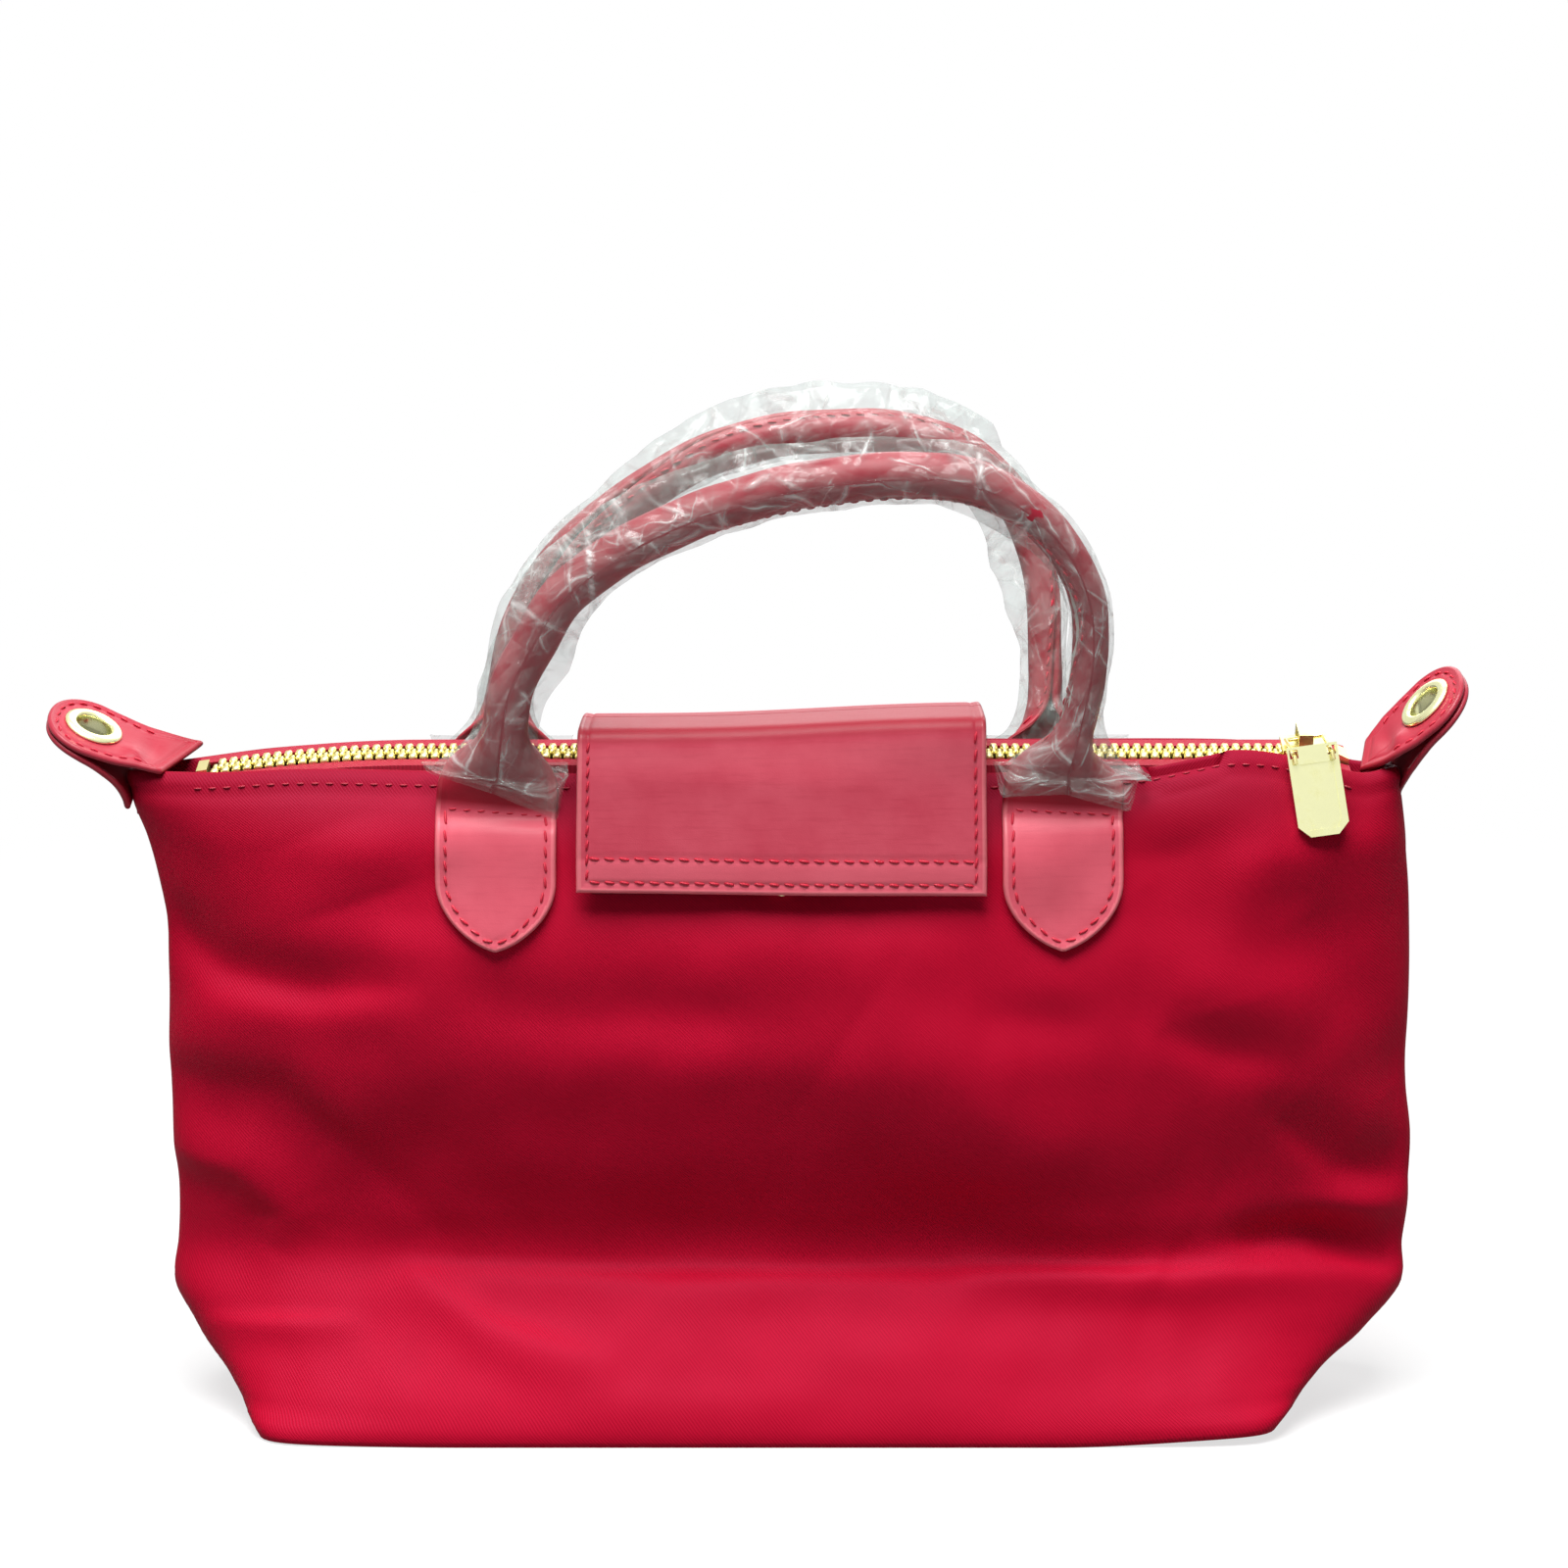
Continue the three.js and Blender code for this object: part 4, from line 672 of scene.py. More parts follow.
def closedPiece(name, points, faces, materials, faceKinds=None, uv=None, toneAndShading=None):
    piece = makePiece(name, points, faces, materials[0], uv=uv)
    if toneAndShading is not None:
        piece.data.attributes.new("toneAndShading", "FLOAT", "POINT").data.foreach_set("value", np.asarray(toneAndShading, np.float32))
    for extra in materials[1:]:
        piece.data.materials.append(extra)
    if faceKinds is not None:
        piece.data.polygons.foreach_set("material_index", faceKinds)
    work = bmesh.new()
    work.from_mesh(piece.data)
    bmesh.ops.remove_doubles(work, verts=work.verts, dist=2e-6)
    bmesh.ops.recalc_face_normals(work, faces=work.faces)
    work.to_mesh(piece.data)
    work.free()
    return piece


def towardsSpine(outline, spine, inset):
    a, b = np.asarray(spine[0], float), np.asarray(spine[1], float)
    t = np.clip(((outline - a) @ (b - a)) / max(((b - a) ** 2).sum(), 1e-9), 0, 1)
    target = a + t[:, None] * (b - a)
    tangent = unit(np.roll(outline, -1, axis=0) - np.roll(outline, 1, axis=0))
    inward = np.stack([-tangent[:, 1], tangent[:, 0]], axis=1)  # the outline turns anticlockwise
    heading = unit(target - outline)
    step = inset / np.maximum((heading * inward).sum(1), 0.5)
    return outline + heading * step[:, None], target


def leatherPlate(name, outline, spine, place, thickness, finish=None, puff=0.0):
    outline = np.asarray(outline, float)
    outline = alongLine(np.vstack([outline, outline[:1]]), spacing=plate["step"])[:-1]
    count = len(outline)
    flat, inset = [], []
    for distance in plate["insets"]:
        flat.append(towardsSpine(outline, spine, distance)[0])
        inset.append(np.full(count, distance))
    last, target = flat[-1], towardsSpine(outline, spine, 0)[1]
    for share in plate["shares"]:
        flat.append(last + (target - last) * share)
        inset.append(plate["insets"][-1] + share * np.linalg.norm(target - last, axis=1))
    rings = len(flat)
    flat, inset = np.vstack(flat), np.concatenate(inset)
    height = rimHeight(inset, thickness, puff)
    lower = -thickness / 2 * np.sqrt(1 - (1 - np.clip(inset / plate["edgeRadius"], 0, 1)) ** 2)
    points = np.vstack([place(flat[:, 0], flat[:, 1], height), place(flat[:, 0], flat[:, 1], lower)])
    faces = gridFaces(rings, count, closed=True) + gridFaces(rings, count, closed=True, flip=True,
                                                             start=rings * count)
    kinds = [int(plate["insets"][min(r, len(plate["insets"]) - 1)] < plate["rimWidth"])
             for r in range(rings - 1) for _ in range(count)] * 2
    end = (rings - 1) * count
    faces += [list(range(end, end + count)), list(range(rings * count + end, rings * count + end + count))[::-1]]
    kinds += [0, 0]
    uv = np.vstack([flat, flat + [0, 60]])
    return closedPiece(name, points, faces, [finish or leather, paintedEdge], kinds, uv)


def stitchParts(line, place, closed=False, offset=0.0, size=1.0):
    line = np.asarray(line, float)
    lengths = np.concatenate([[0], np.cumsum(np.linalg.norm(np.diff(line, axis=0), axis=1))])
    count = max(int(round(lengths[-1] / thread["pitch"])), 1)
    pitch = lengths[-1] / count
    along = np.array([-1, -0.72, -0.3, 0.3, 0.72, 1]) * thread["length"] / 2 * min(size, 1)
    lift = np.array([-0.3, 0.02, 0.16, 0.16, 0.02, -0.3]) * size + thread["lift"] - 0.16
    radius = np.array([0.55, 0.9, 1, 1, 0.9, 0.55]) * thread["radius"] * size
    parts = []
    for k in range(count):
        middle = (k + 0.5) * pitch + offset
        centre = np.array([np.interp(middle, lengths, line[:, c]) for c in (0, 1)])
        ahead = np.array([np.interp(middle + 0.4, lengths, line[:, c]) for c in (0, 1)])
        behind = np.array([np.interp(middle - 0.4, lengths, line[:, c]) for c in (0, 1)])
        heading = unit(ahead - behind)
        square = np.array([-heading[1], heading[0]])
        lean = thread["lean"]
        flat = centre + along[:, None] * (heading + square * lean)[None, :]
        middlePoints = place(flat[:, 0], flat[:, 1], lift)
        above = unit(place(flat[:, 0], flat[:, 1], lift + 0.5) - middlePoints)
        forward = unit(np.gradient(middlePoints, axis=0))
        side = unit(np.cross(forward, above))
        above = unit(np.cross(side, forward))
        rings = []
        for r in range(len(along)):
            angle = np.arange(thread["sides"]) / thread["sides"] * 2 * math.pi
            rings.append(middlePoints[r] + radius[r] * (np.cos(angle)[:, None] * side[r]
                                                        + np.sin(angle)[:, None] * above[r]))
        parts.append((np.vstack(rings), tubeFaces(len(along), thread["sides"])))
    return parts


def makeStitches(name, parts, material):
    points, faces = joinParts(parts)
    piece = closedPiece(name, points, faces, [material])
    return piece


buildSeamTapes()


# The flap, as two leaves that meet on top: one from its stitched back edge, one down the front

flap = {
    "left": -45.5, "right": 44.5, "thickness": 1.4, "backLow": 118.0, "meetAt": -5.0, "bandAt": 7.6,
    "stitchInset": 2.4, "topTilt": 1.3,
    # depth and height of its line over the zip and down the front, after the hinge on the back
    "line": [(9.6, 151.5), (9.6, 154.2), (8.6, 156.8), (5.2, 158.7), (0, 159.4), (-8, 159.6), (-15, 159.5),
             (-19.2, 159.2), (-21.1, 158.0), (-21.7, 155.5), (-22.1, 151), (-22.9, 142), (-23.9, 132),
             (-24.8, 122.6)],
}


def smoothLine(points, per=10):  # a smooth curve through points
    p = np.asarray(points, float)
    p = np.vstack([2 * p[0] - p[1], p, 2 * p[-1] - p[-2]])
    t = np.linspace(0, 1, per, endpoint=False)[:, None]
    out = []
    for k in range(1, len(p) - 2):
        a, b, c, d = p[k - 1], p[k], p[k + 1], p[k + 2]
        out.append(0.5 * (2 * b + (c - a) * t + (2 * a - 5 * b + 4 * c - d) * t ** 2
                          + (3 * b - 3 * c + d - a) * t ** 3))
    return np.vstack(out + [p[-2][None]])


def buildFlap():
    thick = flap["thickness"]
    back = [(onFace(1, 0, z) + 0.35 + thick / 2, z) for z in (flap["backLow"], 124, 130, 136, 142, 147)]
    line = alongLine(smoothLine(back + flap["line"]), spacing=0.5)
    lengths = np.concatenate([[0], np.cumsum(np.linalg.norm(np.diff(line, axis=0), axis=1))])
    tangent = unit(np.gradient(line, axis=0))
    total = lengths[-1]
    top = int(np.argmax(line[:, 1] > 158.9))
    meet = lengths[top + int(np.argmax(line[top:, 0] < flap["meetAt"]))]

    def place(u, s, h):
        u, s, h = np.broadcast_arrays(np.asarray(u, float), np.asarray(s, float), np.asarray(h, float))
        y, z = np.interp(s, lengths, line[:, 0]), np.interp(s, lengths, line[:, 1])
        ty, tz = np.interp(s, lengths, tangent[:, 0]), np.interp(s, lengths, tangent[:, 1])
        size = np.hypot(ty, tz)
        x = u / 45
        lifted = smoothStep(z, 146, 158)
        bow = np.where(y < 0, -1, 0) * smoothStep(158 - z, 0, 12) * (0.9 * (1 - x * x) - 0.4 * x
                                                                       + 0.25 * np.sin(5 * x + 1))
        sag = lifted * (flap["topTilt"] * x + 0.35 * np.sin(3.1 * x - 0.6))
        return np.stack([u + 0.35 * x * smoothStep(158 - z, 0, 30), y + tz / size * h + bow,
                         z - ty / size * h + sag - 0.5 * x * (1 - lifted)], axis=-1)

    steps = [0, 0.12, 0.35, 0.7, 1.05, 1.15, 1.5, 1.9, 2.15, 2.4, 2.65, 3, 3.6, 5]
    width = flap["right"] - flap["left"]
    across = np.concatenate([steps, np.linspace(6.5, width - 6.5, 48), width - np.array(steps[::-1])])

    def leaf(name, low, high, rims, waist=0.0):
        ends = []
        ends += [low + np.array(steps)] if "low" in rims else [np.array([low])]
        ends += [np.arange(low + (6 if "low" in rims else 1), high - (6 if "high" in rims else 0.9), 0.9)]
        ends += [high - np.array(steps[::-1])] if "high" in rims else [np.array([high])]
        ss = np.unique(np.concatenate(ends))
        u, s = np.meshgrid(flap["left"] + across, ss)
        inset = np.minimum(u - flap["left"], flap["right"] - u)
        if "low" in rims:
            inset = np.minimum(inset, s - low)
        if "high" in rims:
            inset = np.minimum(inset, high - s)
        height = rimHeight(inset, thick)
        if "high" in rims:  # the band's seam, and the band standing a little proud below it
            below = high - s
            height = height - 0.22 * np.exp(-((below - flap["bandAt"]) / 0.5) ** 2)
            height = height + 0.12 * smoothStep(flap["bandAt"] - below, 0.2, 1.0) * smoothStep(inset, 1.5, 3)
        lower = -thick / 2 * np.sqrt(1 - (1 - np.clip(inset / plate["edgeRadius"], 0, 1)) ** 2)
        rows, columns = u.shape
        flat = [place(u.ravel(), s.ravel(), h.ravel()) for h in (height, lower)]
        faces = gridFaces(rows, columns) + gridFaces(rows, columns, flip=True, start=rows * columns)
        kinds = []
        for _ in range(2):
            for r in range(rows - 1):
                for c in range(columns - 1):
                    kinds.append(int(max(inset[r, c], inset[r + 1, c + 1]) <= plate["rimWidth"] + 0.05))
        rim = ([(0, c) for c in range(columns - 1)] + [(r, columns - 1) for r in range(rows - 1)]
               + [(rows - 1, c) for c in range(columns - 1, 0, -1)] + [(r, 0) for r in range(rows - 1, 0, -1)])
        places = [r * columns + c for r, c in rim]
        for a, b in zip(places, places[1:] + places[:1]):
            faces.append([a, b, b + rows * columns, a + rows * columns])
            kinds.append(0)
        uv = np.stack([u.ravel(), s.ravel()], axis=1)
        depth = np.interp(s, lengths, line[:, 0])
        height = np.interp(s, lengths, line[:, 1])
        # painted shade: the leather is darker over the top bend of the flap
        toneAndShading = -0.85 * smoothStep(height, 155.5, 158.6) * smoothStep(-depth, -9, 2)
        if "high" in rims:
            toneAndShading = toneAndShading + 0.35 * smoothStep(flap["bandAt"] - (high - s), 0, 0.8)
            # painted highlight: a lighter strip across the front just below the top bend
            toneAndShading = toneAndShading + 0.22 * np.exp(-((height - 153) / 3.5) ** 2)
        return closedPiece(name, np.vstack(flat), faces, [leather, paintedEdge], kinds, np.vstack([uv, uv + 300]),
                           np.tile(toneAndShading.ravel(), 2))

    over = leaf("flap_over_zip_leather", 0.0, meet, ("low",))
    front = leaf("flap_front_leather", meet, total, ("high",))
    edge = flap["stitchInset"]
    left, right = flap["left"] + edge, flap["right"] - edge
    face = thick / 2 - plate["grooveDepth"] + 0.1

    def onFlap(u, s, h):
        return place(u, s, np.asarray(h) + face)

    folded = lengths[int(np.argmax((line[:, 0] < -20) & (line[:, 1] < 158.6)))]
    frontLines = [[(left, folded + 1), (left, total - edge)], [(left, total - edge), (right, total - edge)],
                  [(right, total - edge), (right, folded + 1)],
                  [(left, total - flap["bandAt"]), (right, total - flap["bandAt"])]]
    frontParts = [part for one in frontLines for part in stitchParts(one, onFlap)]
    backLines = [[(left, 34), (left, edge)], [(left, edge), (right, edge)], [(right, edge), (right, 34)],
                 [(left, 30), (right, 30)]]
    backParts = [part for one in backLines for part in stitchParts(one, onFlap)]
    frontSeams = makeStitches("flap_front_stitches", frontParts, threadRed)
    backSeams = makeStitches("flap_back_stitches", backParts, threadRed)
    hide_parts("flap_anchor", "flap_top")
    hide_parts("flap_front")
    for piece in (over, backSeams):
        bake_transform(piece)
    for piece in (front, frontSeams):
        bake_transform(piece)


buildFlap()
print("flap made")


# The handles: each is one strip of leather, a shield stitched to the body at both ends, rolled between

handle = {
    "leftTab": -64, "rightTab": 62, "tabWidth": 27, "tabTip": 109.5, "tabTaper": 15, "tipPower": 1.36,
    "seamLine": 139.6, "pivotHeight": 140.3, "lean": 10, "thickness": 1.8, "tubeRadius": 4.15,
    "rolledWidth": 25.7, "rollFrom": 2, "rollTo": 21, "lift": 1.15, "step": 1.3,
}
handleSides = {
    "front": {
        "side": -1, "rise": 75.1, "narrow": [[0, 1], [0.62, 1], [0.75, 0.74], [0.92, 0.74], [0.98, 1]],
        # place across as a share of half the spread of the tabs, height as a share of the rise
        "shares": [
            [-1.016, 0], [-1, 0.12], [-0.978, 0.255], [-0.948, 0.371], [-0.872, 0.5], [-0.75, 0.657],
            [-0.54, 0.785], [-0.337, 0.87], [-0.135, 0.932], [0.102, 0.977], [0.337, 1], [0.538, 1],
            [0.706, 0.963], [0.846, 0.892], [0.974, 0.779], [1.048, 0.642], [1.068, 0.5], [1.054, 0.371],
            [1.028, 0.255], [0.995, 0.12], [0.984, 0],
        ],
        "twist": [[0, 0], [0.12, 10], [0.4, 60], [0.62, 95], [0.82, 125], [0.95, 20], [1, 0]],
    },
    "back": {
        "side": 1, "rise": 80.2, "narrow": [[0, 1], [0.66, 1], [0.78, 0.74], [0.92, 0.74], [0.98, 1]],
        "shares": [
            [-1.03, 0], [-1.03, 0.12], [-1.025, 0.22], [-1.005, 0.3], [-0.945, 0.48], [-0.78, 0.665],
            [-0.575, 0.795], [-0.394, 0.886], [-0.214, 0.95], [0, 0.988], [0.251, 1], [0.465, 0.987],
            [0.662, 0.931], [0.825, 0.821], [0.92, 0.665], [0.955, 0.495], [0.96, 0.32], [0.96, 0.22],
            [0.965, 0.12], [0.97, 0],
        ],
        "twist": [[0, 0], [0.15, 10], [0.45, -60], [0.6, -75], [0.8, -60], [0.95, -10], [1, 0]],
    },
}


def handleLine(spec):  # the centre line in the bag's frame, with its tangent, inner side and outward face
    side = spec["side"]
    lean = math.radians(handle["lean"])
    pivotDepth = (15.185 if side < 0 else 17.436) * side
    spread = (handle["rightTab"] - handle["leftTab"]) / 2
    rise = spec["rise"] / math.cos(lean)
    flat = smoothLine([(x * spread, h * rise) for x, h in spec["shares"]], per=16)
    flat = alongLine(flat, spacing=handle["step"])
    up = np.array([0, side * math.sin(lean), math.cos(lean)])
    out = np.array([0, side * math.cos(lean), -math.sin(lean)])
    start = np.array([0, pivotDepth, handle["pivotHeight"]])
    centre = start + flat[:, :1] * np.array([1.0, 0, 0]) + flat[:, 1:] * up
    tangent = unit(np.gradient(flat, axis=0))
    forward = tangent[:, :1] * np.array([1.0, 0, 0]) + tangent[:, 1:] * up
    inner = tangent[:, 1:] * np.array([1.0, 0, 0]) - tangent[:, :1] * up
    return centre, forward, inner, np.broadcast_to(out, centre.shape)


def tabHalfWidth(height):
    share = np.clip((np.asarray(height, float) - handle["tabTip"]) / handle["tabTaper"], 0, 1)
    return handle["tabWidth"] / 2 * (1 - (1 - share) ** 2) ** (1 / handle["tipPower"])


def buildHandle(face):
    spec = handleSides[face]
    side = spec["side"]
    centre, forward, inner, out = handleLine(spec)
    count = len(centre)
    travelled = np.concatenate([[0], np.cumsum(np.linalg.norm(np.diff(centre, axis=0), axis=1))])
    length = travelled[-1]
    narrow = np.interp(travelled / length, *np.array(spec["narrow"]).T)  # how far the roll is pressed in
    tip, pivot = handle["tabTip"], handle["pivotHeight"]
    tabHeights = np.concatenate([[0.02, 0.15, 0.35, 0.65, 1.0, 1.4, 1.9, 2.4, 3, 3.7, 4.5],
                                 np.arange(5.4, pivot - tip - 0.6, 1.0)]) + tip
    edges = np.array([0, 0.12, 0.35, 0.7, 1.05, 1.15, 1.5, 1.9, 2.15, 2.4, 2.65, 3, 3.7, 5, 7, 9, 11.2, 13.5])
    share = np.concatenate([edges / 13.5 - 1, (1 - edges / 13.5)[::-1][1:]])
    columns = len(share)
    outline = []
    for z in np.linspace(tip, pivot + 6, 240):
        outline.append((tabHalfWidth(z), z))
    outline = np.array(outline)

    def rolled(k, a, h):  # a point of the strip at station k of the loop
        near = np.minimum(travelled[k], length - travelled[k])
        roll = smoothStep(near, handle["rollFrom"], handle["rollTo"])
        bend = np.maximum(roll / (handle["tubeRadius"] * narrow[k]), 1e-4)
        radius = 1 / bend
        angle = a / radius
        spread = handle["tabWidth"] + (handle["rolledWidth"] * narrow[k] - handle["tabWidth"]) * roll
        theta = spread / radius
        shift = radius - radius * np.sin(theta / 2) / (theta / 2)
        side2 = np.sin(angle) * (radius + h)
        deep = np.cos(angle) * (radius + h) - radius + shift
        twist = np.radians(np.interp(travelled[k] / length, *np.array(spec["twist"]).T)) * roll
        c, s = np.cos(twist)[..., None], np.sin(twist)[..., None]
        across = inner[k] * c + out[k] * s
        outward = out[k] * c - inner[k] * s
        return centre[k] + side2[..., None] * across + deep[..., None] * outward

    def onTab(name, u, z, h):
        x = handle[name] + (u if name == "leftTab" else -u)
        y = np.array([onFace(side, float(px), float(min(pz, 141.0))) for px, pz in
                      zip(np.ravel(x), np.ravel(z))]).reshape(np.shape(x))
        return np.stack([x, y + side * (handle["lift"] + h), z], axis=-1)

    def onStrip(name, u, z, h):  # the shield, turning up into the loop above its seam
        low = onTab(name, u, z, h)
        k = 0 if name == "leftTab" else count - 1
        stem = centre[k] + (np.asarray(z)[..., None] - pivot) * (forward[k] if k == 0 else -forward[k])
        high = stem + np.asarray(u)[..., None] * inner[k] + np.asarray(h)[..., None] * out[k]
        mix = smoothStep(z, 135.5, 141.5)[..., None]
        return low * (1 - mix) + high * mix

    grids, insets, flats, tints = [], [], [], []
    for layer in (1, -1):
        rows, inRows, uvRows, tintRows = [], [], [], []

        def tabRows(name, heights):
            for z in heights:
                half = tabHalfWidth(z)
                u = share * half
                inset = np.min(np.hypot(np.abs(u)[:, None] - outline[:, 0], z - outline[:, 1]), axis=1)
                inset = np.where(np.abs(share) == 1, 0, inset)
                height = rimHeight(inset, handle["thickness"]) if layer > 0 else -handle["thickness"] / 2 * np.sqrt(
                    1 - (1 - np.clip(inset / plate["edgeRadius"], 0, 1)) ** 2)
                if layer > 0:
                    height = height - 0.2 * np.exp(-((z - handle["seamLine"]) / 0.5) ** 2) * smoothStep(inset, 1, 2)
                rows.append(onStrip(name, u, np.full(columns, z), height))
                inRows.append(inset)
                # painted shade: the strip darkens from its seam upwards; the stitched shield below is a little lighter
                shade = 0.22 - 1.15 * float(smoothStep(z, handle["seamLine"] - 0.4, handle["seamLine"] + 1.2))
                tintRows.append(np.where(inset < 1.3, 0.3, shade))
                uvRows.append(np.stack([u, np.full(columns, z)], axis=1))

        tabRows("leftTab", tabHeights)
        for k in range(1, count - 1):
            near = min(travelled[k], length - travelled[k])
            roll = smoothStep(near, handle["rollFrom"], handle["rollTo"])
            half = (handle["tabWidth"] + (handle["rolledWidth"] * narrow[k] - handle["tabWidth"]) * roll) / 2
            a = share * half
            inset = half - np.abs(a)
            height = rimHeight(inset, handle["thickness"]) if layer > 0 else -handle["thickness"] / 2 * np.sqrt(
                1 - (1 - np.clip(inset / plate["edgeRadius"], 0, 1)) ** 2)
            place = np.full(columns, k)
            height = height + 0.12 * layer * np.sin(travelled[k] * 0.31 + 3 * share) * roll * (layer > 0)
            rows.append(rolled(place, a, height))
            inRows.append(inset)
            # the rolled strip: a deep colour, darkest right above the seams where painted shade is laid
            tintRows.append(np.full(columns, -0.95 + 0.22 * float(smoothStep(near, 1, 14))))
            uvRows.append(np.stack([a, np.full(columns, pivot + travelled[k])], axis=1))
        tabRows("rightTab", tabHeights[::-1])
        grids.append(np.array(rows))
        insets.append(np.array(inRows))
        flats.append(np.array(uvRows))
        tints.append(np.array(tintRows))
    rowCount = len(grids[0])
    faces = gridFaces(rowCount, columns) + gridFaces(rowCount, columns, flip=True, start=rowCount * columns)
    kinds = []
    for r in range(rowCount - 1):
        for c in range(columns - 1):
            mean = max(insets[0][r, c], insets[0][r + 1, c + 1])
            kinds.append(int(mean <= plate["rimWidth"] + 0.1))
    kinds = kinds * 2
    total = rowCount * columns
    rim = ([(0, c) for c in range(columns - 1)] + [(r, columns - 1) for r in range(rowCount - 1)]
           + [(rowCount - 1, c) for c in range(columns - 1, 0, -1)] + [(r, 0) for r in range(rowCount - 1, 0, -1)])
    places = [r * columns + c for r, c in rim]
    for a, b in zip(places, places[1:] + places[:1]):
        faces.append([a, b, b + total, a + total])
        kinds.append(1)
    uv = np.vstack([flats[0].reshape(-1, 2), flats[1].reshape(-1, 2) + 400])
    points = np.vstack([grids[0].reshape(-1, 3), grids[1].reshape(-1, 3)])
    strip = closedPiece(f"{face}_handle_leather", points, faces, [leather, paintedEdge], kinds, uv,
                        np.concatenate([t.ravel() for t in tints]))
    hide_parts(f"{face}_handle", f"{face}_left_handle_tab", f"{face}_right_handle_tab")

    parts = []
    for name in ("leftTab", "rightTab"):
        heights = np.linspace(handle["seamLine"], tip + 2.5, 60)
        inner2 = [(tabHalfWidth(z - 1.0) - 2.35, z) for z in heights]
        line = [(-w, z) for w, z in inner2 if w > 0.3] + [(w, z) for w, z in inner2[::-1] if w > 0.3]
        line.append((line[0][0] * -1, handle["seamLine"]))

        def onShield(u, z, h, name=name):
            return onStrip(name, np.asarray(u), np.asarray(z), np.asarray(h) + handle["thickness"] / 2 - 0.1)

        parts += stitchParts(line, onShield)
        top = tabHalfWidth(handle["seamLine"]) - 2.35
        parts += stitchParts([(-top, handle["seamLine"]), (top, handle["seamLine"])], onShield)
    # the seam along the roll, just inside one edge of the strip
    for k0, k1 in ((int(0.08 * count), int(0.95 * count)),):
        stations = travelled[k0:k1]
        half = handle["rolledWidth"] / 2 - 1.7

        def onRoll(u, s, h):
            k = np.clip(np.searchsorted(travelled, s), 1, count - 2)
            t = ((np.asarray(s) - travelled[k - 1]) / (travelled[k] - travelled[k - 1]))[..., None]
            h = np.asarray(h) + handle["thickness"] / 2
            return rolled(k - 1, u * narrow[k - 1], h) * (1 - t) + rolled(k, u * narrow[k], h) * t

        parts += stitchParts([(half, stations[0]), (half, stations[-1])], onRoll, size=0.85)
    seams = makeStitches(f"{face}_handle_stitches", parts, threadRed)
    for piece in (strip, seams):
        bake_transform(piece)


for face in handleSides:
    buildHandle(face)
print("handles made")


# The zip: single teeth, and the topstitching along the hem on each side of it

chain = {
    "height": 150, "tilt": 17, "pitch": 2.5, "from": -128.75, "to": 118.5,
    "dropFromLeft": 80, "dropToLeft": 135, "dropFromRight": 123, "dropToRight": 131, "drop": 4.6,
    # distance from the zip's middle, half width along it, half thickness, from the tape to the tip
    "tooth": [(3.25, 0.7, 0.7), (3.05, 0.9, 1.05), (2.6, 0.96, 1.2), (1.7, 0.9, 1.2), (1.35, 0.62, 1.05),
              (0.75, 0.46, 1.0), (0.35, 0.58, 1.1), (-0.25, 0.6, 1.1), (-0.62, 0.5, 0.95), (-0.78, 0.3, 0.6)],
    "hemStitchBelow": 2.4,
}


def onZip(x, v, w):
    tilt = math.radians(chain["tilt"])
    x = np.asarray(x, float)
    fromX = np.where(x < 0, chain["dropFromLeft"], chain["dropFromRight"])
    toX = np.where(x < 0, chain["dropToLeft"], chain["dropToRight"])
    share = np.clip((np.abs(x) - fromX) / (toX - fromX), 0, 1)
    return np.stack([x, v * math.cos(tilt) - w * math.sin(tilt),
                     chain["height"] + v * math.sin(tilt) + w * math.cos(tilt) - chain["drop"] * share ** 2], axis=-1)


def buildTeeth():
    corners = np.array([(1, 0.5), (0.6, 1), (-0.6, 1), (-1, 0.5), (-1, -0.5), (-0.6, -1), (0.6, -1), (1, -0.5)])
    for name, side, start in (("front_zip_tooth_row", -1, 0.0), ("back_zip_tooth_row", 1, chain["pitch"] / 2)):
        parts = []
        for x in np.arange(chain["from"] + start, chain["to"], chain["pitch"]):
            rings = [onZip(x + corners[:, 0] * wide, np.full(8, side * v), corners[:, 1] * thick)
                     for v, wide, thick in chain["tooth"]]
            parts.append((np.vstack(rings), tubeFaces(len(rings), 8)))
        points, faces = joinParts(parts)
        row = closedPiece(name, points, faces, [warmGold])
        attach(row, "bag_body")
        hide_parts(name.replace("tooth_row", "teeth"))


def buildHemStitches():
    for name, side, hem in (("front_hem_stitches", -1, "frontHem"), ("back_hem_stitches", 1, "backHem")):
        def onHem(u, v, h):
            u, v, h = np.broadcast_arrays(u, v, h)
            z = smoothTable(bag[hem], u)[..., 0] - chain["hemStitchBelow"]
            y = np.array([onFace(side, float(a), float(b)) for a, b in zip(u, z)])
            return np.stack([u, y + side * h, z], axis=-1)

        row = makeStitches(name, stitchParts([(-133, 0), (128, 0)], onHem, size=0.8), threadHem)
        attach(row, "bag_body")


buildTeeth()
buildHemStitches()
print("zip made")


# The ears: two layers of leather with an eyelet through them, bent at the zip's end

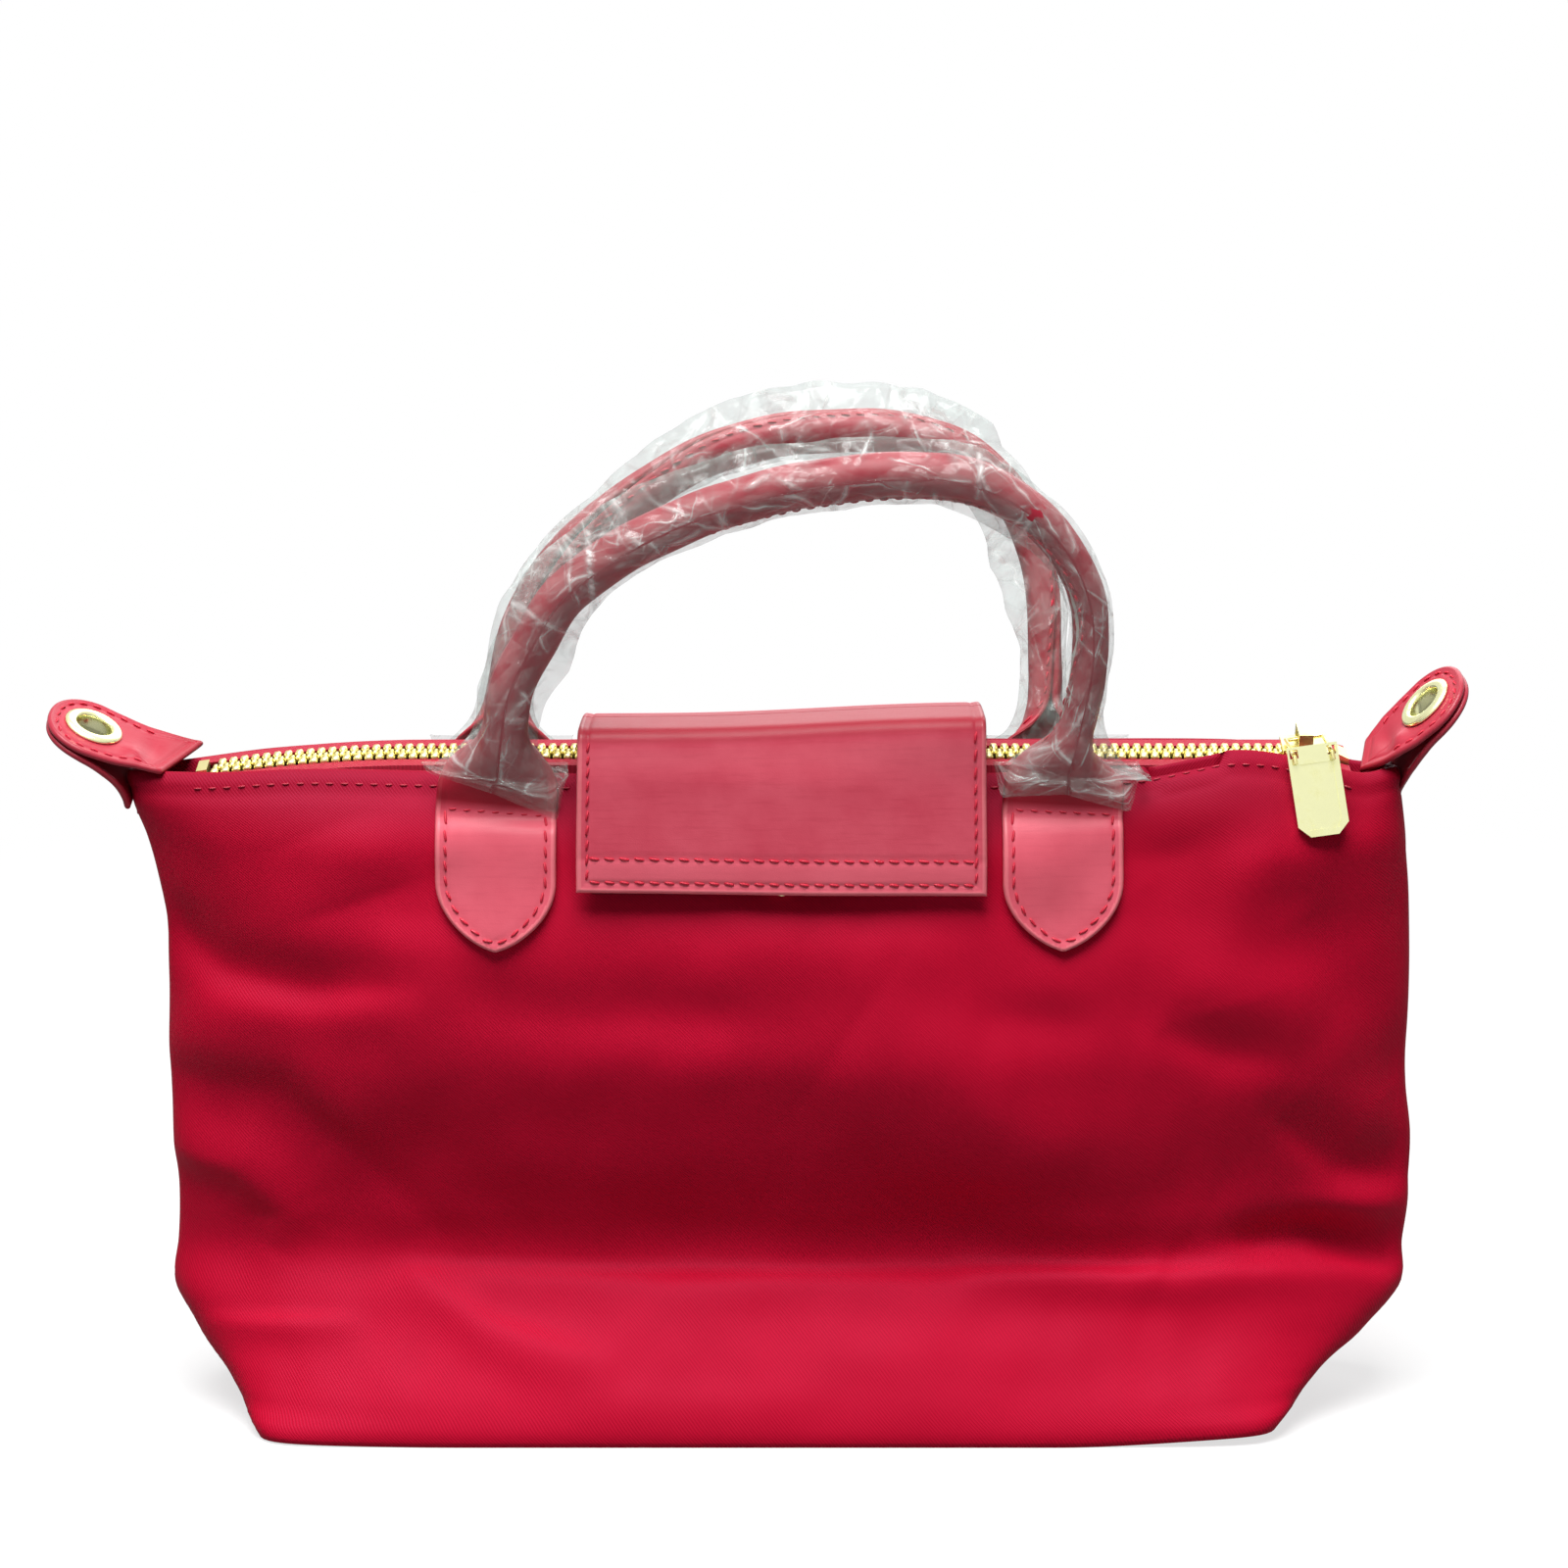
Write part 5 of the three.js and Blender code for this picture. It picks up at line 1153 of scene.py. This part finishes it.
ears = {
    "thickness": 1.35, "holeRadius": 4.3, "eyeletAt": 10.2, "shares": 16, "stitchInset": 2.1,
    # distance from the eyelet's middle and height, round its section
    "eyelet": [(4.0, -2.9), (4.0, 1.5), (4.08, 2.0), (4.35, 2.38), (4.8, 2.55), (5.5, 2.5), (6.2, 2.3), (6.6, 2.02),
               (6.75, 1.7), (6.7, 1.5), (4.35, 1.45), (4.3, -1.5), (6.2, -1.6), (6.25, -1.9), (5.6, -2.35),
               (4.6, -2.75)],
    "eyeletSides": 64,
    "left": {
        "sign": -1, "x": 147.2, "z": 150.9, "pitch": 25,
        # outward and up from the bend: the upper layer from over the zip to the tip, and the lower
        # one from the side seam to the tip
        "upper": [(-14.2, -3.2), (-10, -2.2), (-5, -0.7), (0, 0.95), (5, 3.1), (11, 5.95), (18.3, 9.35)],
        "lower": [(0.5, -10.2), (1.3, -7), (3.2, -3), (5.9, 0.2), (8.9, 2.7), (12.2, 4.7), (18.7, 7.85)],
        "rootFront": 6.5, "rootBack": 0.0,
        "halfWidths": [(0, 9.2), (6, 9.4), (12, 9.9), (18, 11.2), (24, 12)],
    },
    "right": {
        "sign": 1, "x": 138.5, "z": 153.8, "pitch": 47,
        "upper": [(-9.2, -7.3), (-6.4, -5.2), (-2.6, -1.6), (1.2, 2.1), (5, 6.25), (9.6, 11.2), (13.55, 15.45)],
        "lower": [(0.6, -13.4), (1.2, -9), (2.4, -3.4), (4.4, 1.4), (6.9, 5.3), (10, 9), (14.6, 14)],
        "rootFront": 1.0, "rootBack": 4.0,
        "halfWidths": [(0, 2.6), (4, 4.4), (9, 7.8), (13, 9.8), (18, 11.2), (24, 12)],
    },
    "tipLength": 10.5,
}


def buildEar(name):
    spec = ears[name]
    sign, tilt = spec["sign"], math.radians(chain["tilt"])
    pitch = math.radians(spec["pitch"])
    hinge = np.array([sign * spec["x"], 0, spec["z"]])

    def inFrame(o, v, u):  # outward, across towards the back, and up, with the zip's tilt
        return hinge + np.stack([sign * o, v * math.cos(tilt) - u * math.sin(tilt),
                                 v * math.sin(tilt) + u * math.cos(tilt)], axis=-1)

    def layer(label, face, crumple, rootCut):
        line = alongLine(smoothLine(spec[label], per=14), spacing=0.25)
        lengths = np.concatenate([[0], np.cumsum(np.linalg.norm(np.diff(line, axis=0), axis=1))])
        tangent = unit(np.gradient(line, axis=0))
        total = lengths[-1]
        hole = total - (20.6 - ears["eyeletAt"])

        def place(s, v, h):
            s, v, h = np.broadcast_arrays(np.asarray(s, float), np.asarray(v, float), np.asarray(h, float))
            h = h * face + crumple(s / total, v)
            o, u = np.interp(s, lengths, line[:, 0]), np.interp(s, lengths, line[:, 1])
            to, tu = np.interp(s, lengths, tangent[:, 0]), np.interp(s, lengths, tangent[:, 1])
            return inFrame(o - tu * h, v, u + to * h)

        widths = np.array(spec["halfWidths"])
        tipFrom = total - ears["tipLength"]
        straight = np.linspace(0, tipFrom, 40)
        wide = np.interp(straight + (24 - tipFrom), widths[:, 0], widths[:, 1])
        turn = np.linspace(0, math.pi / 2, 24)[1:]
        tip = np.stack([tipFrom + ears["tipLength"] * np.sin(turn), wide[-1] * np.cos(turn) ** 0.86], axis=1)
        upperSide = np.vstack([np.stack([straight, wide], axis=1), tip])
        lowerSide = upperSide[::-1][1:] * [1, -1]
        if rootCut:  # the root's end is cut aslant
            cuts = [np.interp(0, [0, 1], [spec["rootBack"], 0]), spec["rootFront"]]
            upperSide = upperSide[upperSide[:, 0] >= cuts[0]]
            lowerSide = lowerSide[lowerSide[:, 0] >= cuts[1]]
        outline = np.vstack([upperSide, lowerSide])[::-1]
        flat = alongLine(np.vstack([outline, outline[:1]]), spacing=0.8)[:-1]
        count = len(flat)
        centre = np.array([hole, 0.0])
        away = unit(flat - centre)
        ring = centre + away * ears["holeRadius"]
        rims = [flat + (centre - flat) * 0]
        insets = [np.zeros(count)]
        along = unit(np.roll(flat, -1, axis=0) - np.roll(flat, 1, axis=0))
        inward = np.stack([-along[:, 1], along[:, 0]], axis=1)
        for distance in plate["insets"][1:]:
            step = distance / np.maximum((-away * inward).sum(1), 0.55)
            rims.append(flat - away * step[:, None])
            insets.append(np.full(count, distance))
        last = rims[-1]
        for k in range(1, ears["shares"] + 1):
            share = k / ears["shares"]
            rims.append(last + (ring - last) * share)
            insets.append(np.full(count, 4.0 + share))
        rings = len(rims)
        grid, inset = np.vstack(rims), np.concatenate(insets)
        thick = ears["thickness"]
        top = rimHeight(inset, thick)
        low = -thick / 2 * np.sqrt(1 - (1 - np.clip(inset / plate["edgeRadius"], 0, 1)) ** 2)
        points = np.vstack([place(grid[:, 0], grid[:, 1], top), place(grid[:, 0], grid[:, 1], low)])
        faces = gridFaces(rings, count, closed=True) + gridFaces(rings, count, closed=True, flip=True,
                                                                 start=rings * count)
        kinds = [int(insets[r + 1][0] <= plate["rimWidth"]) for r in range(rings - 1) for _ in range(count)]
        kinds += [kind or 2 for kind in kinds]  # the leather's rough inner side
        end = (rings - 1) * count
        for c in range(count):
            right = (c + 1) % count
            faces.append([end + c, end + right, rings * count + end + right, rings * count + end + c])
            kinds.append(0)
        uv = np.vstack([grid, grid + [0, 70]])
        # painted shade: the ears' leather is darkened, most towards the root end where it meets the body
        toneAndShading = np.tile(-0.68 - 0.22 * smoothStep(0.35 - grid[:, 0] / total, 0, 0.3), 2)
        piece = closedPiece(f"{name}_ear_{label}_leather", points, faces, [leather, earEdgeInShade, leatherBack], kinds, uv,
                            toneAndShading)
        edge = flat + inward * ears["stitchInset"]
        seamFrom = 0.30 * total
        order = np.argsort(-((edge[:, 0] < seamFrom) & (np.roll(edge[:, 0], -1) >= seamFrom)).astype(int))[0]
        looped = np.roll(edge, -order - 1, axis=0)
        seam = looped[:int(np.argmax(looped[:, 0] < seamFrom)) or len(looped)]
        return piece, seam, place

    def upperCrumple(share, v):
        fold = 1.25 * np.exp(-((share - 0.40) / 0.075) ** 2) * np.exp(-((v + 5.2) / 3.2) ** 2)
        hollow = -0.8 * np.exp(-((share - 0.30) / 0.07) ** 2) * np.exp(-((v - 0.5) / 5) ** 2)
        curl = 0.03 * np.clip(np.abs(v) - 6, 0, None) ** 2 * np.exp(-((share - 0.22) / 0.2) ** 2)
        return fold + hollow + curl

    def lowerCrumple(share, v):
        return 0.5 * np.sin(share * 7 + 1) * np.exp(-((share - 0.35) / 0.2) ** 2) * (1 - (v / 12) ** 2)

    upper, seam, place = layer("upper", 1, upperCrumple, True)
    lower, underSeam, underPlace = layer("lower", -1, lowerCrumple, False)
    face = ears["thickness"] / 2 - 0.06
    parts = stitchParts(seam, lambda s, v, h: place(s, v, np.asarray(h) + face), size=0.85)
    parts += stitchParts(underSeam, lambda s, v, h: underPlace(s, v, np.asarray(h) + face), size=0.85)
    seams = makeStitches(f"{name}_ear_stitches", parts, threadRed)
    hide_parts(f"{name}_ear_upper_layer", f"{name}_ear_root")
    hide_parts(f"{name}_ear_lower_layer")
    for piece in (upper, lower, seams):
        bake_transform(piece)

    profile = np.array(ears["eyelet"])
    sides = ears["eyeletSides"]
    angle = np.arange(sides) / sides * 2 * math.pi
    rings = []
    for radius, w in profile:
        a = ears["eyeletAt"] + radius * np.cos(angle)
        rings.append(inFrame(a * math.cos(pitch) - w * math.sin(pitch), radius * np.sin(angle),
                             a * math.sin(pitch) + w * math.cos(pitch)))
    count = len(profile)
    faces = [[r * sides + c, r * sides + (c + 1) % sides, (r + 1) % count * sides + (c + 1) % sides,
              (r + 1) % count * sides + c] for r in range(count) for c in range(sides)]
    rimPiece = closedPiece(f"{name}_eyelet_rim", np.vstack(rings), faces, [gold])
    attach(rimPiece, f"{name}_ear")
    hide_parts(f"{name}_eyelet", f"{name}_eyelet_washer")


for name in ("left", "right"):
    buildEar(name)
print("ears made")


# The film: each handle is still in its clear wrapping, loose, creased and flared over its roots

wrap = {
    "clear": 0.45, "sides": 64, "step": 0.9, "crumple": 0.75, "fine": 0.14, "flareFrom": 8.0, "flareRows": 20,
    "front": {
        "hangsAt": 18.6,
        # where the film is folded double, from place to place across and up
        "strips": [((-59.4, 187.7), (-43.8, 178.9)), ((-42.4, 202.7), (-41, 183.6)), ((42.1, 220), (41.5, 211))],
        # share of the way along the handle, how far the loose fold stands out there
        "outer": [(0, 2), (0.06, 1.0), (0.12, 1.6), (0.18, 2.6), (0.24, 4.8), (0.33, 5.6), (0.45, 4.6), (0.56, 2.6),
                  (0.63, 2.2), (0.645, 0.6), (0.8, 0.4), (0.9, 0.5), (0.94, 4.5), (0.975, 8.5), (1, 10)],
        "inner": [(0, 1), (0.05, 0.8), (0.1, 2.0), (0.16, 4.0), (0.2, 2.2), (0.26, 0.5), (0.4, 0.8), (0.6, 1.0),
                  (0.66, 2.6), (0.72, 1.6), (0.8, 0.4), (1, 1)],
        "edge": {"left": [(-81, 149.6), (-64, 144), (-49, 137.6)], "right": [(46, 143.2), (62, 144), (83, 138.2)]},
    },
    "back": {
        "hangsAt": 21.5,
        "strips": [((-8.3, 219.9), (-6.3, 214)), ((-0.5, 221.3), (0.5, 216.2)), ((19.5, 222.7), (20.5, 217.6))],
        "outer": [(0, 1), (0.08, 1.0), (0.2, 1.2), (0.29, 1.0), (0.36, 2.8), (0.44, 5.2), (0.5, 6.0), (0.58, 5.4),
                  (0.63, 5.0), (0.665, 4.4), (0.68, 1.0), (0.85, 0.6), (1, 1)],
        "inner": [(0, 1), (0.3, 0.5), (0.6, 0.6), (0.72, 4.2), (0.78, 6.6), (0.83, 4.4), (0.87, 1.0), (0.95, 2.0),
                  (1, 4)],
        "edge": {"left": [(-80, 144), (-64, 142), (-48, 145)], "right": [(46, 145), (62, 142), (80, 143)]},
    },
}


def crease(points, size, seed):  # straight ridges in several directions, wandering a little
    drift = np.stack([softNoise(points, 22, seed + k) for k in (1, 2, 3)], axis=1) * 7
    total = np.zeros(len(points))
    for k, (turn, tilt, ratio) in enumerate(((15, 10, 1), (60, -35, 0.7), (100, 40, 1.3), (145, -15, 0.85))):
        a, b = math.radians(turn + seed * 20), math.radians(tilt)
        heading = np.array([math.cos(a) * math.cos(b), math.sin(b), math.sin(a) * math.cos(b)])
        saw = ((points + drift) @ heading) / (size * ratio) + seed * (k + 1) * 0.37
        total += ratio * (4 * np.abs(saw - np.floor(saw) - 0.5) - 1)
    return total / 2


def buildFilm(face):
    spec, loose = handleSides[face], wrap[face]
    side = spec["side"]
    centre, forward, inner, out = handleLine(spec)
    travelled = np.concatenate([[0], np.cumsum(np.linalg.norm(np.diff(centre, axis=0), axis=1))])
    length = travelled[-1]
    sides = wrap["sides"]
    theta = np.arange(sides) / sides * 2 * math.pi
    dirOut, dirIn = np.cos(theta), np.sin(theta)

    def ring(s):
        at = [np.interp(s, travelled, v) for v in centre.T]
        inn = unit([np.interp(s, travelled, v) for v in inner.T])
        outw = out[0]
        near = min(s, length - s)
        roll = max(float(smoothStep(near, handle["rollFrom"], handle["rollTo"])), 1e-3)
        narrow = float(np.interp(s / length, *np.array(spec["narrow"]).T))
        radius = handle["tubeRadius"] * narrow / roll
        spread = handle["tabWidth"] + (handle["rolledWidth"] * narrow - handle["tabWidth"]) * roll
        half = spread / radius / 2
        shift = radius - radius * math.sin(half) / half
        thick = handle["thickness"] / 2
        wide = (radius + thick) * (math.sin(half) if half < math.pi / 2 else 1)
        high = shift + thick
        low = math.cos(min(half, math.pi)) * (radius - thick * math.copysign(1, math.cos(half))) - radius + shift
        middle, deep = (high + low) / 2, (high - low) / 2 + wrap["clear"]
        wide += wrap["clear"]
        deep = max(deep, 1.6)
        reach = (np.abs(dirOut / deep) ** 2.2 + np.abs(dirIn / wide) ** 2.2) ** (-1 / 2.2)
        share = s / length
        for angle, table in ((-math.pi / 2, loose["outer"]), (math.pi / 2, loose["inner"])):
            tall = float(np.interp(share, *np.array(table).T))
            apart = np.abs((theta - angle + math.pi) % (2 * math.pi) - math.pi)
            crest = wide + tall
            turn = math.acos(min(deep / crest, 0.999))
            straight = deep / np.cos(np.clip(turn - apart, 0, None))
            reach = np.where((apart < turn) & (tall > 0.3), np.maximum(reach, straight), reach)
        flat = reach * dirIn, reach * dirOut + middle
        return np.array(at) + flat[0][:, None] * inn + flat[1][:, None] * outw

    stations = np.arange(wrap["flareFrom"], length - wrap["flareFrom"], wrap["step"])
    rows = [ring(s) for s in stations]

    def flare(name, first):
        root = handle[f"{name}Tab"]
        turnIn = 1 if name == "left" else -1
        edge = np.array(loose["edge"][name])
        across = root + turnIn * 16.0 * dirIn * (1 + 0.1 * np.sin(theta * 3 + 1))
        slope = np.interp(across, edge[:, 0], edge[:, 1])
        facing = smoothStep(dirOut, -0.1, 0.35)
        top = 150.0 if side < 0 else 152.5
        z = slope * facing + top * (1 - facing)
        yFront = np.full(sides, side * loose["hangsAt"])
        yBack = np.full(sides, side * 11.0)
        y = yFront * facing + yBack * (1 - facing)
        last = np.stack([across, y, z], axis=1)
        steps = np.linspace(0, 1, wrap["flareRows"])[1:]
        return [first * (1 - t) + last * t + np.stack([turnIn * dirIn * 0.9, np.full(sides, side * 0.7) * facing,
                np.zeros(sides)], axis=1) * math.sin(math.pi * t) for t in steps]

    rows = flare("left", rows[0])[::-1] + rows + flare("right", rows[-1])
    grid = np.array(rows)
    flatGrid = grid.reshape(-1, 3)
    across = np.roll(grid, -1, axis=1) - np.roll(grid, 1, axis=1)
    along = np.gradient(grid, axis=0)
    normal = unit(np.cross(across, along)).reshape(-1, 3)
    middle = grid.mean(axis=1, keepdims=True).repeat(sides, axis=1).reshape(-1, 3)
    normal *= np.sign(((flatGrid - middle) * normal).sum(1, keepdims=True))
    seed = 2.3 if side < 0 else 8.9
    stretched = flatGrid * [1.0, 1.0, 0.8]
    rise = wrap["crumple"] * crease(stretched, 13.0, seed) + wrap["fine"] * crease(stretched, 6.0, seed + 5)
    total = len(rows)
    fromEdge = np.minimum(np.arange(total), total - 1 - np.arange(total)).repeat(sides)
    rise *= 0.25 + 0.75 * smoothStep(fromEdge, 0, wrap["flareRows"])
    points = flatGrid + normal * (rise * 0.5 + 0.1)[:, None]
    faces = gridFaces(total, sides, closed=True)
    lengthAlong = np.repeat(np.arange(total) * wrap["step"], sides)
    uv = np.stack([np.tile(np.arange(sides) * 0.6, total), lengthAlong], axis=1)
    sheet = makePiece(f"{face}_handle_wrap", points, faces, film, uv=uv)
    fold = np.zeros(len(points))
    for (ax, az), (bx, bz) in loose["strips"]:
        dx, dz = bx - ax, bz - az
        t = np.clip(((points[:, 0] - ax) * dx + (points[:, 2] - az) * dz) / (dx * dx + dz * dz), 0, 1)
        gap = np.hypot(points[:, 0] - ax - t * dx, points[:, 2] - az - t * dz)
        fold = np.maximum(fold, 1 - smoothStep(gap, 0.1, 1.0))
    sheet.data.attributes.new("fold", "FLOAT", "POINT").data.foreach_set("value", fold.astype(np.float32))
    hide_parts(f"{face}_handle_film")
    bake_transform(sheet)


for face in handleSides:
    buildFilm(face)
print("film made")


# Finishes of the solids that stay as they are

finishOf = {"nylon": nylon, "leather": leather, "lining": leatherBack, "binding": binding, "zip_tape": zipTape,
            "gold": gold, "cord_core": cordCore, "film": film}
for subpart in frame["record"]["subparts"]:
    solid = frame["nodes"][subpart["node"]]
    solid.data.materials.clear()
    small = subpart["node"] in ("zip_slider", "zip_pull_bail", "zip_left_stop", "zip_right_stop")
    solid.data.materials.append(warmGold if small else finishOf[subpart["material_slot"]])
for name in ("zip_slider", "zip_pull_plate", "zip_left_stop", "zip_right_stop", "snap_stud", "snap_socket"):
    rounding = frame["nodes"][name].modifiers.new("rounding", "BEVEL")
    rounding.width, rounding.segments, rounding.angle_limit = 0.00018, 2, math.radians(35)
print("solids finished")


# Camera, floor and light

studio = {
    "elevation": 10, "distance": 790.12, "target": (0, 0, 143), "lens": 80,
    "floorClear": (0.3, 0.75), "room": 0.03, "roomInGloss": 0.78,
    "lamps": [("softTop", (-0.1, -0.34, 1.28), 0.9, 32.0), ("softFront", (-0.5, -1.5, 0.6), 1.2, 0.8),
              ("softBack", (0.3, 1.1, 1.0), 1.2, 8.0)],
}


def addStudio():
    lean = math.radians(studio["elevation"])
    camera = bpy.data.objects.new("camera", bpy.data.cameras.new("camera"))
    bpy.context.scene.collection.objects.link(camera)
    target = Vector(studio["target"]) * mm
    back = Vector((0, -math.cos(lean), math.sin(lean)))
    camera.location = target + back * studio["distance"] * mm
    camera.rotation_euler = (math.pi / 2 - lean, 0, 0)
    camera.data.lens = studio["lens"]
    camera.data.sensor_width = 36
    camera.data.clip_start = 0.05
    bpy.context.scene.camera = camera

    floorShade, nodes, links, shader = newMaterial("paleFloor")
    shader.inputs["Roughness"].default_value = 0.8
    tree = floorShade.node_tree
    path = addNode(tree, "ShaderNodeLightPath")
    # it throws less light back up at the bag than it shows to the camera
    links.new(mixColours(tree, path.outputs["Is Camera Ray"], (0.22, 0.22, 0.22, 1), (0.93, 0.93, 0.93, 1)),
              shader.inputs["Base Color"])
    # away from the bag the floor brightens into the white of the room, for the camera only
    away = addNode(tree, "ShaderNodeVectorMath", "LENGTH")
    tree.links.new(addNode(tree, "ShaderNodeTexCoord").outputs["Object"], away.inputs[0])
    far = rampNode(tree, away.outputs["Value"], studio["floorClear"][0], studio["floorClear"][1])
    soft = mathNode(tree, "ADD", mathNode(tree, "MULTIPLY", far, 0.3), 0.7)
    seen = mathNode(tree, "MULTIPLY", soft, path.outputs["Is Camera Ray"])
    glow = addNode(tree, "ShaderNodeEmission")
    both = addNode(tree, "ShaderNodeMixShader")
    tree.links.new(seen, both.inputs[0])
    tree.links.new(shader.outputs[0], both.inputs[1])
    tree.links.new(glow.outputs[0], both.inputs[2])
    tree.links.new(both.outputs[0], nodes["Material Output"].inputs["Surface"])
    bpy.ops.mesh.primitive_plane_add(size=8, location=(0, 0, 0))
    floor = bpy.context.object
    floor.name = "floor"
    floor.data.materials.append(floorShade)

    for name, place, size, power in studio["lamps"]:
        lamp = bpy.data.objects.new(name, bpy.data.lights.new(name, "AREA"))
        lamp.data.size = size
        lamp.data.energy = power
        lamp.location = place
        lamp.rotation_euler = (target - Vector(place)).to_track_quat("-Z", "Y").to_euler()
        bpy.context.scene.collection.objects.link(lamp)

    world = bpy.data.worlds.new("studio")
    bpy.context.scene.world = world
    world.use_nodes = True
    tree = world.node_tree
    sky = tree.nodes["Background"]
    sky.inputs[0].default_value = (1, 1, 1, 1)
    path = addNode(tree, "ShaderNodeLightPath")
    bright = mathNode(tree, "MAXIMUM", path.outputs["Is Camera Ray"],
                      mathNode(tree, "MULTIPLY", path.outputs["Is Glossy Ray"], studio["roomInGloss"]))
    strength = mathNode(tree, "MAXIMUM", bright, studio["room"])
    tree.links.new(strength, sky.inputs[1])
    bpy.context.scene.view_settings.view_transform = "Standard"
    bpy.context.scene.view_settings.look = "None"


addStudio()
print("studio made")
